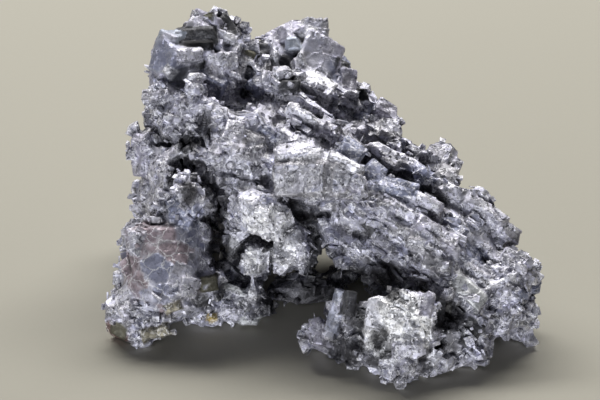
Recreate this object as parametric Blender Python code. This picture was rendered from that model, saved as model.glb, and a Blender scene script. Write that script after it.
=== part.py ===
"""Galena specimen: one natural piece of intergrown lead sulphide crystals, modelled in Blender.

The stone is a wedge on a roughly triangular plan. A crest of large crystals stands at the back left, and
the top falls from it to a low right end. A cave runs through it from front to back, so that it stands on a
left foot, a front lobe, a right end, two back feet and a sill across the cave. The frame has +X to the right
along the front, +Y to the back and +Z up.
"""

import math
import zlib

import bmesh
import bpy
import numpy as np
from mathutils import Euler, Matrix, Vector

MM = 0.001
NAME = "galena_specimen"
SEED = 27

# Every place below is (x, y, z) in millimetres, every half size is half a lump's length along its own
# x, y, z, and every turn is in degrees about x, y, z.

# Broad masses of the stone: (name, centre, half size, turn, squareness)
MASSES = (
    ("left_foot", (-42, -13, 10), (14, 13, 12), (0, 0, 10), 0.5),
    ("left_face", (-41, -10, 16), (12, 13, 11), (40, -4, 8), 0.75),
    ("left_corner", (-50, -21, 6), (9, 8, 8), (20, 0, -20), 0.4),
    ("left_sill", (-25, -14, 4), (15, 6, 6), (0, 6, 8), 0.3),
    ("left_flank", (-42, 6, 25), (11, 12, 17), (12, 0, 0), 0.35),
    ("left_shoulder", (-36, 19, 38), (12, 12, 18), (10, 0, 10), 0.35),
    ("crest_base", (-31, 28, 45), (12, 10, 16), (0, 0, -10), 0.35),
    ("back_left_foot", (-33, 24, 14), (14, 13, 18), (0, 0, 15), 0.5),
    ("cave_wall_left", (-19, 0, 15), (9, 11, 17), (0, 8, 0), 0.3),
    ("cave_wall_middle", (4, 2, 15), (16, 9, 16), (0, 0, 0), 0.4),
    ("cave_wall_right", (20, -7, 13), (9, 12, 15), (0, 0, -20), 0.4),
    ("cave_wall_back", (-20, 14, 16), (9, 11, 17), (0, 0, 0), 0.3),
    ("upper_slope", (-21, 10, 38), (16, 13, 13), (30, 8, 0), 0.4),
    ("roof_core", (-2, 5, 31), (17, 14, 11), (0, 6, 0), 0.5),
    ("roof_centre", (-8, 4, 36), (16, 13, 12), (20, 8, -10), 0.4),
    ("roof_back", (-10, 24, 39), (14, 14, 13), (10, 4, 0), 0.3),
    ("crest_right_base", (-5, 34, 40), (12, 11, 14), (0, 10, 0), 0.2),
    ("roof_right_back", (8, 20, 32), (13, 12, 13), (0, 20, -20), 0.3),
    ("right_shoulder", (23, 5, 27), (14, 11, 13), (10, 20, -35), 0.3),
    ("right_middle", (35, -7, 21), (14, 11, 12), (10, 20, -38), 0.3),
    ("right_end", (48, -18, 13), (10, 10, 13), (0, 10, -40), 0.35),
    ("front_brow", (9, -6, 33), (15, 9, 11), (15, 16, -30), 0.35),
    ("front_slope", (25, -15, 24), (16, 9, 11), (18, 22, -30), 0.35),
    ("front_slope_low", (37, -22, 14), (11, 8, 10), (10, 20, -35), 0.35),
    ("right_back_foot", (22, 13, 11), (13, 10, 14), (0, 0, -30), 0.5),
    ("lobe_base", (17, -33, 4), (20, 7, 6), (0, -3, -6), 0.35),
    ("lobe_right", (38, -29, 7), (9, 7, 9), (0, 0, -20), 0.35),
    ("lobe_root", (27, -25, 5), (10, 8, 6), (0, 0, -20), 0.35),
)

# Lumps that give the front its relief, in the same form
LUMPS = (
    ("centre_block", (0, -8.5, 42), (12.5, 6.5, 7.5), (18, 5, -6), 0.9),
    ("bright_plate", (21, -35, 15), (9, 4.6, 10), (-14, 8, 4), 0.85),
    ("bright_plate_low", (24, -36, 8), (8, 5, 8), (-10, 0, 10), 0.7),
    ("cave_roof_low", (12, -13, 23), (10, 7, 6), (10, 20, -24), 0.4),
    ("bright_plate_left", (13, -34, 12), (4, 4, 8), (-8, -10, 0), 0.5),
    ("lobe_left", (3, -28, 6), (7, 6, 7), (0, 20, 10), 0.4),
    ("lobe_left_tooth", (7, -30, 11), (3, 3.5, 8), (0, 12, 20), 0.6),
    ("lobe_tip", (20, -39, 4), (7, 5, 5), (0, 0, 10), 0.4),
    ("lobe_heel", (38, -34, 4), (7, 4, 5), (0, 0, -20), 0.4),
    ("hanging_mass", (-16, -10, 31), (11, 6, 9), (20, 20, -12), 0.3),
    ("hanging_tongue_left", (-25, -13, 25), (3.5, 4, 7), (10, -10, 0), 0.3),
    ("round_nodule", (-18, -12, 17.5), (5.6, 5.6, 6.8), (0, 0, 0), 0.0),
    ("hanging_tongue", (-8.5, -14, 22), (4.6, 5, 10), (0, 24, 0), 0.3),
    ("small_nodule", (-18.5, -14, 8.5), (4, 4.4, 5.0), (0, 0, 0), 0.0),
    ("cave_sill", (-3, -5, 2), (13, 5.5, 5.5), (0, 0, -6), 0.4),
    ("cave_lintel", (4, -13, 27), (8, 4, 4), (10, 20, -20), 0.3),
    ("left_rib", (-34, -4, 31), (6, 5, 9), (20, -20, 10), 0.6),
    ("left_knob", (-31, -17, 14), (5, 4, 5), (30, 0, 0), 0.5),
    ("flank_knob", (-47, 12, 36), (6, 7, 8), (0, 0, 0), 0.4),
    ("flank_knob_low", (-50, -4, 18), (5, 7, 8), (10, 0, 0), 0.4),
    ("shoulder_knob", (32, 6, 35), (7, 6, 6), (0, 20, -30), 0.3),
    ("shoulder_end", (43, -4, 29), (7, 5, 5), (0, 25, -40), 0.3),
    ("end_knob", (51.5, -17, 17), (4.5, 5, 7), (0, 0, -20), 0.5),
    ("end_foot", (53, -22, 6), (6, 5, 8), (0, 0, -20), 0.4),
    ("back_lump_right", (35, 7, 18), (7, 6, 8), (0, 0, -30), 0.4),
    ("back_lump_left", (-43, 30, 30), (6, 6, 10), (0, 0, 20), 0.4),
    ("back_lump_middle", (-22, 36, 32), (9, 6, 10), (0, 0, 0), 0.4),
)

# Large crystals of the two crests: (centre, half size, turn, corner cut as a share of the shortest side)
CREST_CRYSTALS = (
    ((-41, 27, 55), (4, 5.5, 8.6), (6, 14, 30), 0.35),
    ((-43, 23, 47), (4.5, 5, 7), (0, 8, 10), 0.3),
    ((-36, 31, 57.5), (6.2, 5, 5), (14, -16, 6), 0.2),
    ((-31.5, 35, 60.5), (5.2, 4.6, 5.4), (28, 22, 38), 0.25),
    ((-25.5, 35, 59), (3.6, 4, 4.4), (20, 30, 10), 0.2),
    ((-22, 34, 54), (3.4, 3.6, 3.6), (40, 10, 25), 0.2),
    ((-27, 30, 57), (4, 3.4, 3.4), (35, 20, 50), 0.2),
    ((-12.5, 38, 51), (5.4, 5, 5.4), (20, 25, 30), 0.55),
    ((-6.5, 41, 54), (5, 5, 5.6), (35, 10, 20), 0.6),
    ((-2, 40, 51.5), (4.8, 5, 5.4), (10, 30, 40), 0.6),
    ((2, 35, 46), (5, 5.6, 6.4), (25, 15, 10), 0.6),
    ((6.5, 32, 46), (2.8, 3, 3), (20, 40, 10), 0.6),
    ((9, 29, 41.5), (4.6, 4.4, 4.6), (35, 20, 45), 0.6),
    ((11.6, 26, 44), (2.4, 2.4, 2.4), (8, 12, 20), 0.05),
    ((16.5, 21, 36), (4.8, 4.6, 5.6), (30, 10, 30), 0.6),
    ((-15, 29, 50), (4, 4, 4), (30, 40, 10), 0.2),
    ((-4, 29, 50), (5, 4, 3.6), (20, 20, 10), 0.25),
    ((3, 26, 46), (4.6, 3.6, 3.2), (10, 28, 20), 0.25),
)

# Ledges that run down the top from the crest to the right end: (start, end, half width, half height)
LEDGES = (
    ((-40, 18, 54), (-18, 8, 47), 4.0, 3.2),
    ((-43, 8, 43), (-22, 0, 40), 4.0, 3.4),
    ((-30, 22, 57), (-8, 14, 49), 3.4, 3.0),
    ((-20, 26, 53), (6, 14, 45), 3.4, 3.2),
    ((-12, 14, 49), (16, 3, 43), 3.6, 3.0),
    ((3, 21, 45), (30, 7, 37), 3.4, 3.0),
    ((8, 8, 44), (35, -3, 35), 3.4, 3.0),
    ((10, -3, 43), (40, -13, 30), 3.8, 3.4),
    ((24, 3, 39), (48, -12, 26), 3.2, 3.0),
    ((14, -12, 36), (44, -22, 20), 4.2, 3.6),
    ((20, -20, 27), (42, -28, 14), 3.8, 3.4),
    ((32, 0, 33), (51, -14, 22), 3.0, 2.8),
    ((-28, -3, 38), (-14, -7, 36), 3.4, 3.0),
    ((-47, -3, 31), (-33, -9, 29), 3.0, 2.4),
)

# Hollows: (centre, half size, turn). These are the cave's mouth, the nook behind the nodules, the narrow way
# through, and the hollow at the back.
CAVE = (
    ((4, -19, 8), (11, 13, 16), (0, 0, 0)),
    ((-14, -11, 15), (12, 10, 11), (0, 0, 0)),
    ((1.5, -1, 9), (5.2, 11, 9.5), (0, 0, 0)),
    ((1, 13, 7), (8, 12, 10), (0, 0, 0)),
    ((-3, 32, 9), (12, 15, 14), (0, 0, 0)),
)
PITS = (
    ((32, -31, 15), (4.5, 8, 4.5), (0, 20, 0)),
    ((13, -25, 15), (4, 6, 6), (0, 0, 0)),
    ((30, -37, 8), (2.2, 5, 4), (0, 40, 0)),
    ((-27.5, -10, 22), (2.2, 6, 9), (0, -8, 0)),
    ((-27.5, -4, 33), (2.6, 5, 6), (20, -24, 0)),
    ((-25, -16, 12), (4, 5, 4), (0, 10, 0)),
    ((-13, -14, 12), (2.2, 5, 7), (0, 20, 0)),
    ((-36, 6, 43), (2.2, 4, 5), (20, -20, 0)),
    ((-30, 10, 49), (2.0, 3, 3.6), (20, -30, 0)),
    ((-42, 8, 40), (2.2, 3, 3), (0, 0, 0)),
    ((-18, 24, 56), (6, 4, 3), (0, 20, 0)),
    ((20, -5, 41), (6, 1.6, 2.2), (10, 20, -32)),
    ((34, -9, 34), (6, 1.6, 2.2), (10, 24, -36)),
    ((2, 12, 49), (7, 1.8, 2.2), (10, 18, -30)),
    ((-5, -14, 37), (1.6, 2, 4), (0, 30, 0)),
    ((46, 1, 20), (3, 3, 3.4), (0, 0, 0)),
    ((-55, 2, 14), (3.4, 4, 4), (0, 0, 0)),
    ((-47, 34, 12), (4, 4, 5), (0, 0, 0)),
    ((6, 38, 32), (4, 4, 4), (0, 0, 0)),
)

# How many corners a lump's hull is drawn round, and how far they stray from an even spread of the same radius
MASS_CORNERS = 26
LUMP_CORNERS = 20
LEDGE_CORNERS = 14
PIT_CORNERS = 10
MASS_ROUGHNESS = 0.15
SMALL_ROUGHNESS = 0.12
RADIUS_RANGE = (0.86, 1.04)

# How near to a box the shapes without a value of their own are: 0 is a ball and 1 is a box
LEDGE_SQUARENESS = 0.45
CAVE_SQUARENESS = 0.2
PIT_SQUARENESS = 0.3

# The crust of small crystals that covers the stone: half of a crystal's first side, the other sides as
# shares of it, how deep it is sunk and how far its corners stray, both as shares of its half size
CRUST_COUNT = 230
CRUST_HALF = (1.3, 2.7)
CRUST_WIDTH = (0.7, 1.2)
CRUST_HEIGHT = (0.7, 1.3)
CRUST_SINK = 0.6
CRUST_UNEVEN = 0.4

# Where there is no crust: just above the floor, inside the cave and on the broad flat face at the left
CRUST_CLEAR_OF_FLOOR = 2.5
CAVE_LOW = (-7, -22, 0)
CAVE_HIGH = (11, 12, 18)
FLAT_FACE_CENTRE = (-41, -14, 20)
FLAT_FACE_RADIUS = 11.0

# The whole stone's triangles
TRIANGLES = 9600

# What stands below this plane is cut away, so that the feet have flat faces to rest on
FLOOR_BOX = (200.0, 200.0, 40.0)


def chance(name):
    """Random numbers that belong to one named lump, so that a change to one leaves the others as they are."""
    return np.random.default_rng(SEED + zlib.crc32(name.encode()))


def turned(turn):
    """Rotation matrix of a turn in degrees."""
    return Euler([math.radians(a) for a in turn]).to_matrix().to_4x4()


def place(centre, turn, half):
    """Matrix that takes a unit shape to its size, turn and place, in metres."""
    size = Matrix.Diagonal((*[h * MM for h in half], 1.0))
    return Matrix.Translation(Vector(centre) * MM) @ turned(turn) @ size


def collection(name):
    made = bpy.data.collections.new(name)
    bpy.context.scene.collection.children.link(made)
    return made


def add_object(name, bm, into):
    """A mesh object from bm, in the collection given."""
    bmesh.ops.recalc_face_normals(bm, faces=bm.faces)
    mesh = bpy.data.meshes.new(name)
    bm.to_mesh(mesh)
    bm.free()
    made = bpy.data.objects.new(name, mesh)
    into.objects.link(made)
    return made


def rough_stone(name, matrix, squareness, corners, into):
    """A flat-faceted lump: some of an icosphere's corners, moved about, and the convex hull around them."""
    roughness = MASS_ROUGHNESS if corners == MASS_CORNERS else SMALL_ROUGHNESS
    rng = chance(name)
    bm = bmesh.new()
    bmesh.ops.create_icosphere(bm, subdivisions=2, radius=1.0)
    bm.verts.ensure_lookup_table()
    spare = rng.permutation(len(bm.verts))[corners:]
    bmesh.ops.delete(bm, geom=[bm.verts[i] for i in spare], context="VERTS")
    for v in bm.verts:
        direction = Vector(v.co) + Vector(rng.normal(0.0, roughness, 3))
        direction.normalize()
        boxed = direction / max(abs(c) for c in direction)
        v.co = direction.lerp(boxed, squareness) * rng.uniform(*RADIUS_RANGE)
    if bm.edges:
        bmesh.ops.delete(bm, geom=bm.edges[:], context="EDGES_FACES")
    hull = bmesh.ops.convex_hull(bm, input=bm.verts[:])
    inner = [g for g in hull["geom_interior"] if isinstance(g, bmesh.types.BMVert)]
    bmesh.ops.delete(bm, geom=inner, context="VERTS")
    bm.transform(matrix)
    return add_object(name, bm, into)


def crystal(name, matrix, corner_cut, into):
    """A cube with its corners cut off, as galena grows."""
    bm = bmesh.new()
    bmesh.ops.create_cube(bm, size=2.0)
    if corner_cut > 0.0:
        bmesh.ops.bevel(bm, geom=bm.verts[:], offset=corner_cut, affect="VERTICES", segments=1)
    bm.transform(matrix)
    return add_object(name, bm, into)


def broken_crystal(name, matrix, into):
    """A cube with its corners moved, for the crystals that crowd and cut each other short."""
    bm = bmesh.new()
    bmesh.ops.create_cube(bm, size=2.0)
    rng = chance(name)
    for v in bm.verts:
        v.co += Vector(rng.uniform(-CRUST_UNEVEN, CRUST_UNEVEN, 3))
    bmesh.ops.delete(bm, geom=bm.edges[:], context="EDGES_FACES")
    bmesh.ops.convex_hull(bm, input=bm.verts[:])
    bm.transform(matrix)
    return add_object(name, bm, into)


def ledge(name, start, end, half_width, half_height, into):
    """A long lump from start to end."""
    a, b = Vector(start), Vector(end)
    along = (b - a).normalized()
    across = Vector((0, 0, 1)).cross(along).normalized()
    up = along.cross(across)
    axes = Matrix((along, across, up)).transposed().to_4x4()
    half = ((b - a).length / 2 * MM, half_width * MM, half_height * MM)
    matrix = Matrix.Translation((a + b) / 2 * MM) @ axes @ Matrix.Diagonal((*half, 1.0))
    return rough_stone(name, matrix, LEDGE_SQUARENESS, LEDGE_CORNERS, into)


def boolean(target, operation, others):
    """Joins or cuts target with every object of a collection, and keeps the result as its mesh."""
    modifier = target.modifiers.new(operation.lower(), "BOOLEAN")
    modifier.operation = operation
    modifier.operand_type = "COLLECTION"
    modifier.collection = others
    modifier.solver = "EXACT"
    graph = bpy.context.evaluated_depsgraph_get()
    mesh = bpy.data.meshes.new_from_object(target.evaluated_get(graph))
    target.modifiers.clear()
    target.data = mesh


def keep_outer_shell(obj):
    """Drops the sealed voids that lumps leave between them, and any crumb that a cut sets loose."""
    bm = bmesh.new()
    bm.from_mesh(obj.data)
    unseen = set(bm.verts)
    shells = []
    while unseen:
        stack = [unseen.pop()]
        shell = list(stack)
        while stack:
            for edge in stack.pop().link_edges:
                for v in edge.verts:
                    if v in unseen:
                        unseen.discard(v)
                        stack.append(v)
                        shell.append(v)
        shells.append(shell)
    shells.sort(key=len)
    for shell in shells[:-1]:
        bmesh.ops.delete(bm, geom=shell, context="VERTS")
    bmesh.ops.triangulate(bm, faces=bm.faces)
    bm.to_mesh(obj.data)
    bm.free()


def drop_slivers(obj):
    """Collapses the short edges that the joins leave, until the stone is down to its triangles."""
    modifier = obj.modifiers.new("slivers", "DECIMATE")
    modifier.ratio = TRIANGLES / len(obj.data.polygons)
    graph = bpy.context.evaluated_depsgraph_get()
    mesh = bpy.data.meshes.new_from_object(obj.evaluated_get(graph))
    obj.modifiers.clear()
    obj.data = mesh


def surface_samples(obj, count, rng):
    """Points spread evenly over a mesh's area, with the normal at each."""
    mesh = obj.data
    mesh.calc_loop_triangles()
    triangles = mesh.loop_triangles
    areas = np.array([t.area for t in triangles])
    picked = rng.choice(len(areas), size=count, p=areas / areas.sum())
    samples = []
    for index in picked:
        corners = [mesh.vertices[i].co for i in triangles[index].vertices]
        u, v = rng.uniform(0, 1, 2)
        if u + v > 1:
            u, v = 1 - u, 1 - v
        point = corners[0] + (corners[1] - corners[0]) * u + (corners[2] - corners[0]) * v
        samples.append((point / MM, Vector(triangles[index].normal)))
    return samples


def scatter_crust(stone, into):
    """Small crystals over the stone but for its feet, the cave and the broad flat face on the left."""
    rng = chance("crust")
    flat = Vector(FLAT_FACE_CENTRE)
    for index, (point, normal) in enumerate(surface_samples(stone, CRUST_COUNT, rng)):
        length = rng.uniform(*CRUST_HALF)
        half = length * np.array([1.0, rng.uniform(*CRUST_WIDTH), rng.uniform(*CRUST_HEIGHT)])
        turn = rng.uniform(0, 90, 3)
        near_flat = (point - flat).length < FLAT_FACE_RADIUS and normal.y < 0
        in_cave = all(low < c < high for low, c, high in zip(CAVE_LOW, point, CAVE_HIGH))
        if point.z < CRUST_CLEAR_OF_FLOOR + half.max() or near_flat or in_cave:
            continue
        centre = point - normal * CRUST_SINK * half.min()
        broken_crystal(f"crust_{index:03d}", place(centre, turn, half), into)


def put_on_origin(obj):
    """Moves the mesh so that the middle of its box's bottom is the origin."""
    points = np.array([v.co for v in obj.data.vertices])
    low, high = points.min(axis=0), points.max(axis=0)
    middle = (low + high) / 2
    obj.data.transform(Matrix.Translation((-middle[0], -middle[1], -low[2])))


def material():
    """Lead-grey metal."""
    made = bpy.data.materials.new("galena")
    made.use_nodes = True
    shader = made.node_tree.nodes["Principled BSDF"]
    shader.inputs["Base Color"].default_value = (0.33, 0.33, 0.36, 1.0)
    shader.inputs["Metallic"].default_value = 1.0
    shader.inputs["Roughness"].default_value = 0.32
    return made


def build():
    for old in list(bpy.data.objects):
        bpy.data.objects.remove(old)
    model = collection("galena_specimen")
    lumps = collection("lumps")
    hollows = collection("hollows")
    details = collection("details")
    floor = collection("floor")

    first, *others = MASSES
    stone = rough_stone(NAME, place(first[1], first[3], first[2]), first[4], MASS_CORNERS, model)
    for name, centre, half, turn, squareness in others:
        rough_stone(name, place(centre, turn, half), squareness, MASS_CORNERS, lumps)
    boolean(stone, "UNION", lumps)
    for index, (centre, half, turn) in enumerate(CAVE):
        rough_stone(f"cave_{index}", place(centre, turn, half), CAVE_SQUARENESS, MASS_CORNERS, hollows)
    boolean(stone, "DIFFERENCE", hollows)

    for name, centre, half, turn, squareness in LUMPS:
        rough_stone(name, place(centre, turn, half), squareness, LUMP_CORNERS, details)
    for index, (start, end, half_width, half_height) in enumerate(LEDGES):
        ledge(f"ledge_{index:02d}", start, end, half_width, half_height, details)
    boolean(stone, "UNION", details)

    pits = collection("pits")
    for index, (centre, half, turn) in enumerate(PITS):
        rough_stone(f"pit_{index:02d}", place(centre, turn, half), PIT_SQUARENESS, PIT_CORNERS, pits)
    boolean(stone, "DIFFERENCE", pits)
    keep_outer_shell(stone)

    crystals = collection("crystals")
    for index, (centre, half, turn, cut) in enumerate(CREST_CRYSTALS):
        crystal(f"crest_{index:02d}", place(centre, turn, half), cut, crystals)
    scatter_crust(stone, crystals)
    boolean(stone, "UNION", crystals)

    keep_outer_shell(stone)
    drop_slivers(stone)

    crystal("below_floor", place((0, 0, -FLOOR_BOX[2]), (0, 0, 0), FLOOR_BOX), 0.0, floor)
    boolean(stone, "DIFFERENCE", floor)
    keep_outer_shell(stone)
    put_on_origin(stone)

    for helpers in (lumps, hollows, details, pits, crystals, floor):
        for helper in helpers.objects:
            helper.hide_render = True
            helper.display_type = "WIRE"
    stone.data.materials.clear()
    stone.data.materials.append(material())


build()
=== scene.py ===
"""Galena specimen: the surface of the stone, its crystals, the ground, the light and the camera.

Every place in this file is in millimetres in the stone's own frame, unless a name says otherwise: +X to the
right along the front, +Y to the back, +Z up, with the feet on z = 0.
"""

import functools
import itertools
import math

import bmesh
import bpy
import numpy as np
from bpy.props import FloatProperty, FloatVectorProperty, IntProperty, PointerProperty
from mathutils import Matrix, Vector
from mathutils.bvhtree import BVHTree


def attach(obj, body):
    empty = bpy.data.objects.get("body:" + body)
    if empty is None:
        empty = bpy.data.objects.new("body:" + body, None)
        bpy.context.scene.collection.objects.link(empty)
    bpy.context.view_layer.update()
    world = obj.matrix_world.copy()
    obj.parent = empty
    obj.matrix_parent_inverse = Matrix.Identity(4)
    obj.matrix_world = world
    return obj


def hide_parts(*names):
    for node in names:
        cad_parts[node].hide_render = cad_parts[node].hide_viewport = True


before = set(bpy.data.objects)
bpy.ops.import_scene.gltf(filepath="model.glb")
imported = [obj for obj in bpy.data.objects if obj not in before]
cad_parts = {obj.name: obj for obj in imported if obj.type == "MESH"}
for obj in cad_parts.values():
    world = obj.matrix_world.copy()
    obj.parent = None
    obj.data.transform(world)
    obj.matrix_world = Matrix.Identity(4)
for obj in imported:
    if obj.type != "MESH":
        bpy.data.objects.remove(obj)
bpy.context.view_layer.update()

bl_info = {
    "name": "Galena Specimen",
    "version": (1, 0, 0),
    "blender": (4, 5, 0),
    "location": "View3D > Sidebar > Galena",
    "description": "Builds a galena hand specimen: its rough skin, its crystals, the ground and the light",
    "category": "Add Mesh",
}

MM = 0.001
NODE = "galena_specimen"
SEED = 27

# What the stone was moved by when it was put on its origin, so that places measured from the photo still
# hold
SHIFT = np.array([0.347, -1.937, 0.0])

# The cuts across x that divide the skin into pieces, and how far the pieces overlap there
CUTS = (-30.0, -13.0, 4.0, 22.0)
OVERLAP = 1.2

# Rounds of evening out after which a small hollow shows, and further rounds after which a wide one does, for
# the painted shade in hollows
HOLLOW_ROUNDS = 50
WIDE_ROUNDS = 160

# The crowding round a place, which sets the painted shade of enclosed places: how many places are counted,
# the margin round the stone, how far out from the surface it is read, and how many times the usual is still
# open
CROWD_COUNT = 240000
CROWD_MARGIN = 16.0
CROWD_REACH = 5.0
CROWD_OPEN = 1.45

# How far crystals of the skin may reach out of it: the large ones and the middle ones
LARGE_LIMIT = 1.5
MIDDLE_LIMIT = 1.0

# The angle between two faces past which their edge is sharp
SHARP = math.radians(24)

# The lobe's bright plate, where the surface is crumpled foil: its middle and its half sizes
PLATE = ((20, -36, 16), (10, 8, 14))

# Painted highlight on rims where they catch the light, and painted shade in cracks and pits
RIM_HIGHLIGHT = (0.94, 0.94, 0.98)
CRACK_SHADE = (0.04, 0.04, 0.045)

# The photo's camera: what it looks at, how far it looks down, how far away it stands in metres, its focal
# length and sensor in mm, and the photo's size in points
TARGET = (-5.8, 0.0, 29.3)
PHOTO_ELEVATION = math.radians(35)
PHOTO_DISTANCE = 0.450
PHOTO_LENS = 100.0
SENSOR = 36.0
PHOTO_SIZE = (600, 400)

# Crystals placed from the photo: how much depth in mm the places under one may span on each side, the
# most that one turns with the surface and in all, and the share of the noted pitch that is used
FOOTPRINT_DEPTH = 7.0
MOST_FOLLOW = math.radians(50)
MOST_TILT = math.radians(58)
PITCH_SHARE = 0.55

# The lights: place and size in metres, and colour
KEY_LIGHT = ((-0.05, 0.73, 1.01), (1.9, 0.24), (1.0, 0.985, 0.95))
FRONT_LIGHT = ((-0.35, -1.0, 0.055), (1.0, 0.08), (0.95, 0.97, 1.0))
FILL_COLOUR = (0.9, 0.92, 1.0, 1.0)


class StoneSettings(bpy.types.PropertyGroup):
    """Sizes of the stone's surface."""

    grain: FloatProperty(
        name="Grain", description="Edge of the skin's mesh", default=0.00043, min=0.0003, unit="LENGTH")
    large_crystal: FloatProperty(
        name="Large crystals", description="Spacing of the large crystals in the skin", default=0.0075,
        unit="LENGTH")
    middle_crystal: FloatProperty(
        name="Middle crystals", description="Spacing of the middle crystals in the skin", default=0.0038,
        unit="LENGTH")
    large_block: FloatProperty(
        name="Large blocks", description="Size of the skin's large blocks", default=0.0085, unit="LENGTH")
    small_block: FloatProperty(
        name="Small blocks", description="Size of the skin's small blocks", default=0.0034, unit="LENGTH")
    block_count: IntProperty(
        name="Blocks", description="How many larger crystals lie on the skin", default=650, min=0)
    crust_count: IntProperty(
        name="Crust crystals", description="How many small crystals lie on the skin", default=5000, min=0)
    chip_count: IntProperty(
        name="Chips", description="How many chips and splinters lie on the skin", default=1500, min=0)


class ColourSettings(bpy.types.PropertyGroup):
    """Colours of the metal and of the ground."""

    # Light faces, and the colour of painted highlights on raised rims, panel rims and nodules
    pale_and_highlight: FloatVectorProperty(
        name="Light metal", description="Light faces and painted highlights on edges", subtype="COLOR", default=(0.76, 0.76, 0.84))
    # Painted highlight: the near-white colour of the lobe's plate and the nodules
    bright_highlight: FloatVectorProperty(
        name="Bright metal", description="Painted highlight on the lobe's plate and nodules", subtype="COLOR", default=(0.96, 0.96, 0.98))
    mid_metal: FloatVectorProperty(
        name="Mid metal", description="Most of the stone", subtype="COLOR", default=(0.48, 0.48, 0.58))
    grey_metal: FloatVectorProperty(
        name="Grey metal", description="Duller blocks", subtype="COLOR", default=(0.34, 0.335, 0.375))
    # Painted shade: the near-black colour laid into hollows, the cave and enclosed places
    shade_metal: FloatVectorProperty(
        name="Dark metal", description="Painted shade in the hollows", subtype="COLOR",
        default=(0.045, 0.044, 0.048))
    blue_metal: FloatVectorProperty(
        name="Blue metal", description="Bluish faces", subtype="COLOR", default=(0.25, 0.265, 0.375))
    brown_metal: FloatVectorProperty(
        name="Brown metal", description="Pinkish-brown faces", subtype="COLOR", default=(0.35, 0.285, 0.315))
    rust_metal: FloatVectorProperty(
        name="Rust", description="Reddish-brown corner", subtype="COLOR", default=(0.16, 0.075, 0.055))
    ground: FloatVectorProperty(
        name="Ground", description="The plain ground", subtype="COLOR", default=(0.45, 0.435, 0.38))


class StageSettings(bpy.types.PropertyGroup):
    """The camera and the light."""

    distance: FloatProperty(
        name="Distance", description="Camera to target", default=PHOTO_DISTANCE, unit="LENGTH")
    elevation: FloatProperty(
        name="Elevation", description="How far the camera looks down", default=PHOTO_ELEVATION,
        subtype="ANGLE")
    lens: FloatProperty(
        name="Lens", description="Focal length in millimetres", default=PHOTO_LENS, min=10.0)
    key_power: FloatProperty(name="Key light", description="Power of the soft light behind", default=26.5)
    front_power: FloatProperty(
        name="Front light", description="Power of the weak light in front", default=8.6)
    fill: FloatProperty(name="Fill", description="Strength of the light all round", default=0.03)


# Noise and cells

def hashed(cell, salt):
    """Even random numbers from 0 to 1 for whole-number places: the place times large odd numbers, mixed."""
    c = cell.astype(np.int64)
    h = (c[..., 0] * 73856093) ^ (c[..., 1] * 19349663) ^ (c[..., 2] * 83492791) ^ (salt * 2654435761)
    h &= 0xFFFFFFFF
    for _ in range(2):
        h = ((h ^ (h >> 16)) * 0x45D9F3B) & 0xFFFFFFFF
    h ^= h >> 16
    return (h & 0xFFFFFF) / float(0x1000000)


def hashed_vector(cell, salt):
    """Three random numbers from -1 to 1 for each place."""
    return np.stack([hashed(cell, salt + k) for k in range(3)], axis=-1) * 2.0 - 1.0


def noise(points, salt):
    """Smooth noise from -1 to 1: random values at whole-number places, mixed by a quintic of the
    distance."""
    base = np.floor(points)
    part = points - base
    part = part * part * part * (part * (part * 6.0 - 15.0) + 10.0)
    total = np.zeros(len(points))
    for corner in itertools.product((0, 1), repeat=3):
        weight = np.prod(np.where(np.array(corner) == 1, part, 1.0 - part), axis=1)
        total += weight * hashed(base + corner, salt)
    return total * 2.0 - 1.0


def cells(points, salt):
    """Cells around one random seed in each unit cube: the owner cell of each point, the way from its
    seed, and how much nearer that seed is than the next."""
    base = np.floor(points)
    near = np.full(len(points), np.inf)
    second = near.copy()
    owner = base.copy()
    away = np.zeros_like(points)
    for step in itertools.product((-1, 0, 1), repeat=3):
        cell = base + step
        way = points - (cell + 0.5 + 0.45 * hashed_vector(cell, salt))
        distance = np.sqrt((way ** 2).sum(axis=1))
        closer = distance < near
        second = np.where(closer, near, np.minimum(second, distance))
        owner[closer] = cell[closer]
        away[closer] = way[closer]
        near = np.minimum(near, distance)
    return owner, away, second - near


def rotations(angles):
    """Rotation matrices from three angles each, about z, y and x in turn."""
    c, s = np.cos(angles), np.sin(angles)
    one, nil = np.ones(len(angles)), np.zeros(len(angles))
    about_z = np.stack([c[:, 0], -s[:, 0], nil, s[:, 0], c[:, 0], nil, nil, nil, one], axis=1)
    about_y = np.stack([c[:, 1], nil, s[:, 1], nil, one, nil, -s[:, 1], nil, c[:, 1]], axis=1)
    about_x = np.stack([one, nil, nil, nil, c[:, 2], -s[:, 2], nil, s[:, 2], c[:, 2]], axis=1)
    shape = (-1, 3, 3)
    return about_z.reshape(shape) @ about_y.reshape(shape) @ about_x.reshape(shape)


def ball(points, centre, radii, edge=0.35):
    """1 inside an ellipsoid, falling smoothly to 0 over its outer part."""
    reach = np.sqrt((((points - SHIFT - centre) / radii) ** 2).sum(axis=1))
    return np.clip((1.0 - reach) / edge, 0.0, 1.0)


# Regions of the stone, each as a weight from 0 to 1 at every point

def smooth_places(points):
    """The crest's large crystals and the broad flat face on the left, where the surface is nearly plain."""
    crest = np.maximum(ball(points, (-38, 28, 60), (14, 13, 12)), ball(points, (-2, 38, 53), (17, 13, 12)))
    return np.maximum(crest, 0.8 * ball(points, (-42, -16, 20), (16, 11, 15)))


def smooth_faces(points, normals):
    """The smooth places, and the centre block's front."""
    block = 0.5 * ball(points, (0, -12, 43), (11, 7, 7)) * (normals[:, 1] < -0.3)
    return np.clip(smooth_places(points) + block, 0.0, 1.0)


SMALL_PLACES = (((50, -19, 14), (13, 13, 17)), ((-13, 31, 50), (9, 8, 8)), ((38, -32, 7), (11, 9, 9)))


def small_crystals(points):
    """Where small cubes lie close together: the right end, the valley between the crests, the lobe's right
    and the whole back."""
    found = 0.5 * (points[:, 1] > 24.0)
    for centre, radii in SMALL_PLACES:
        found = np.maximum(found, ball(points, centre, radii))
    return found


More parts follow.
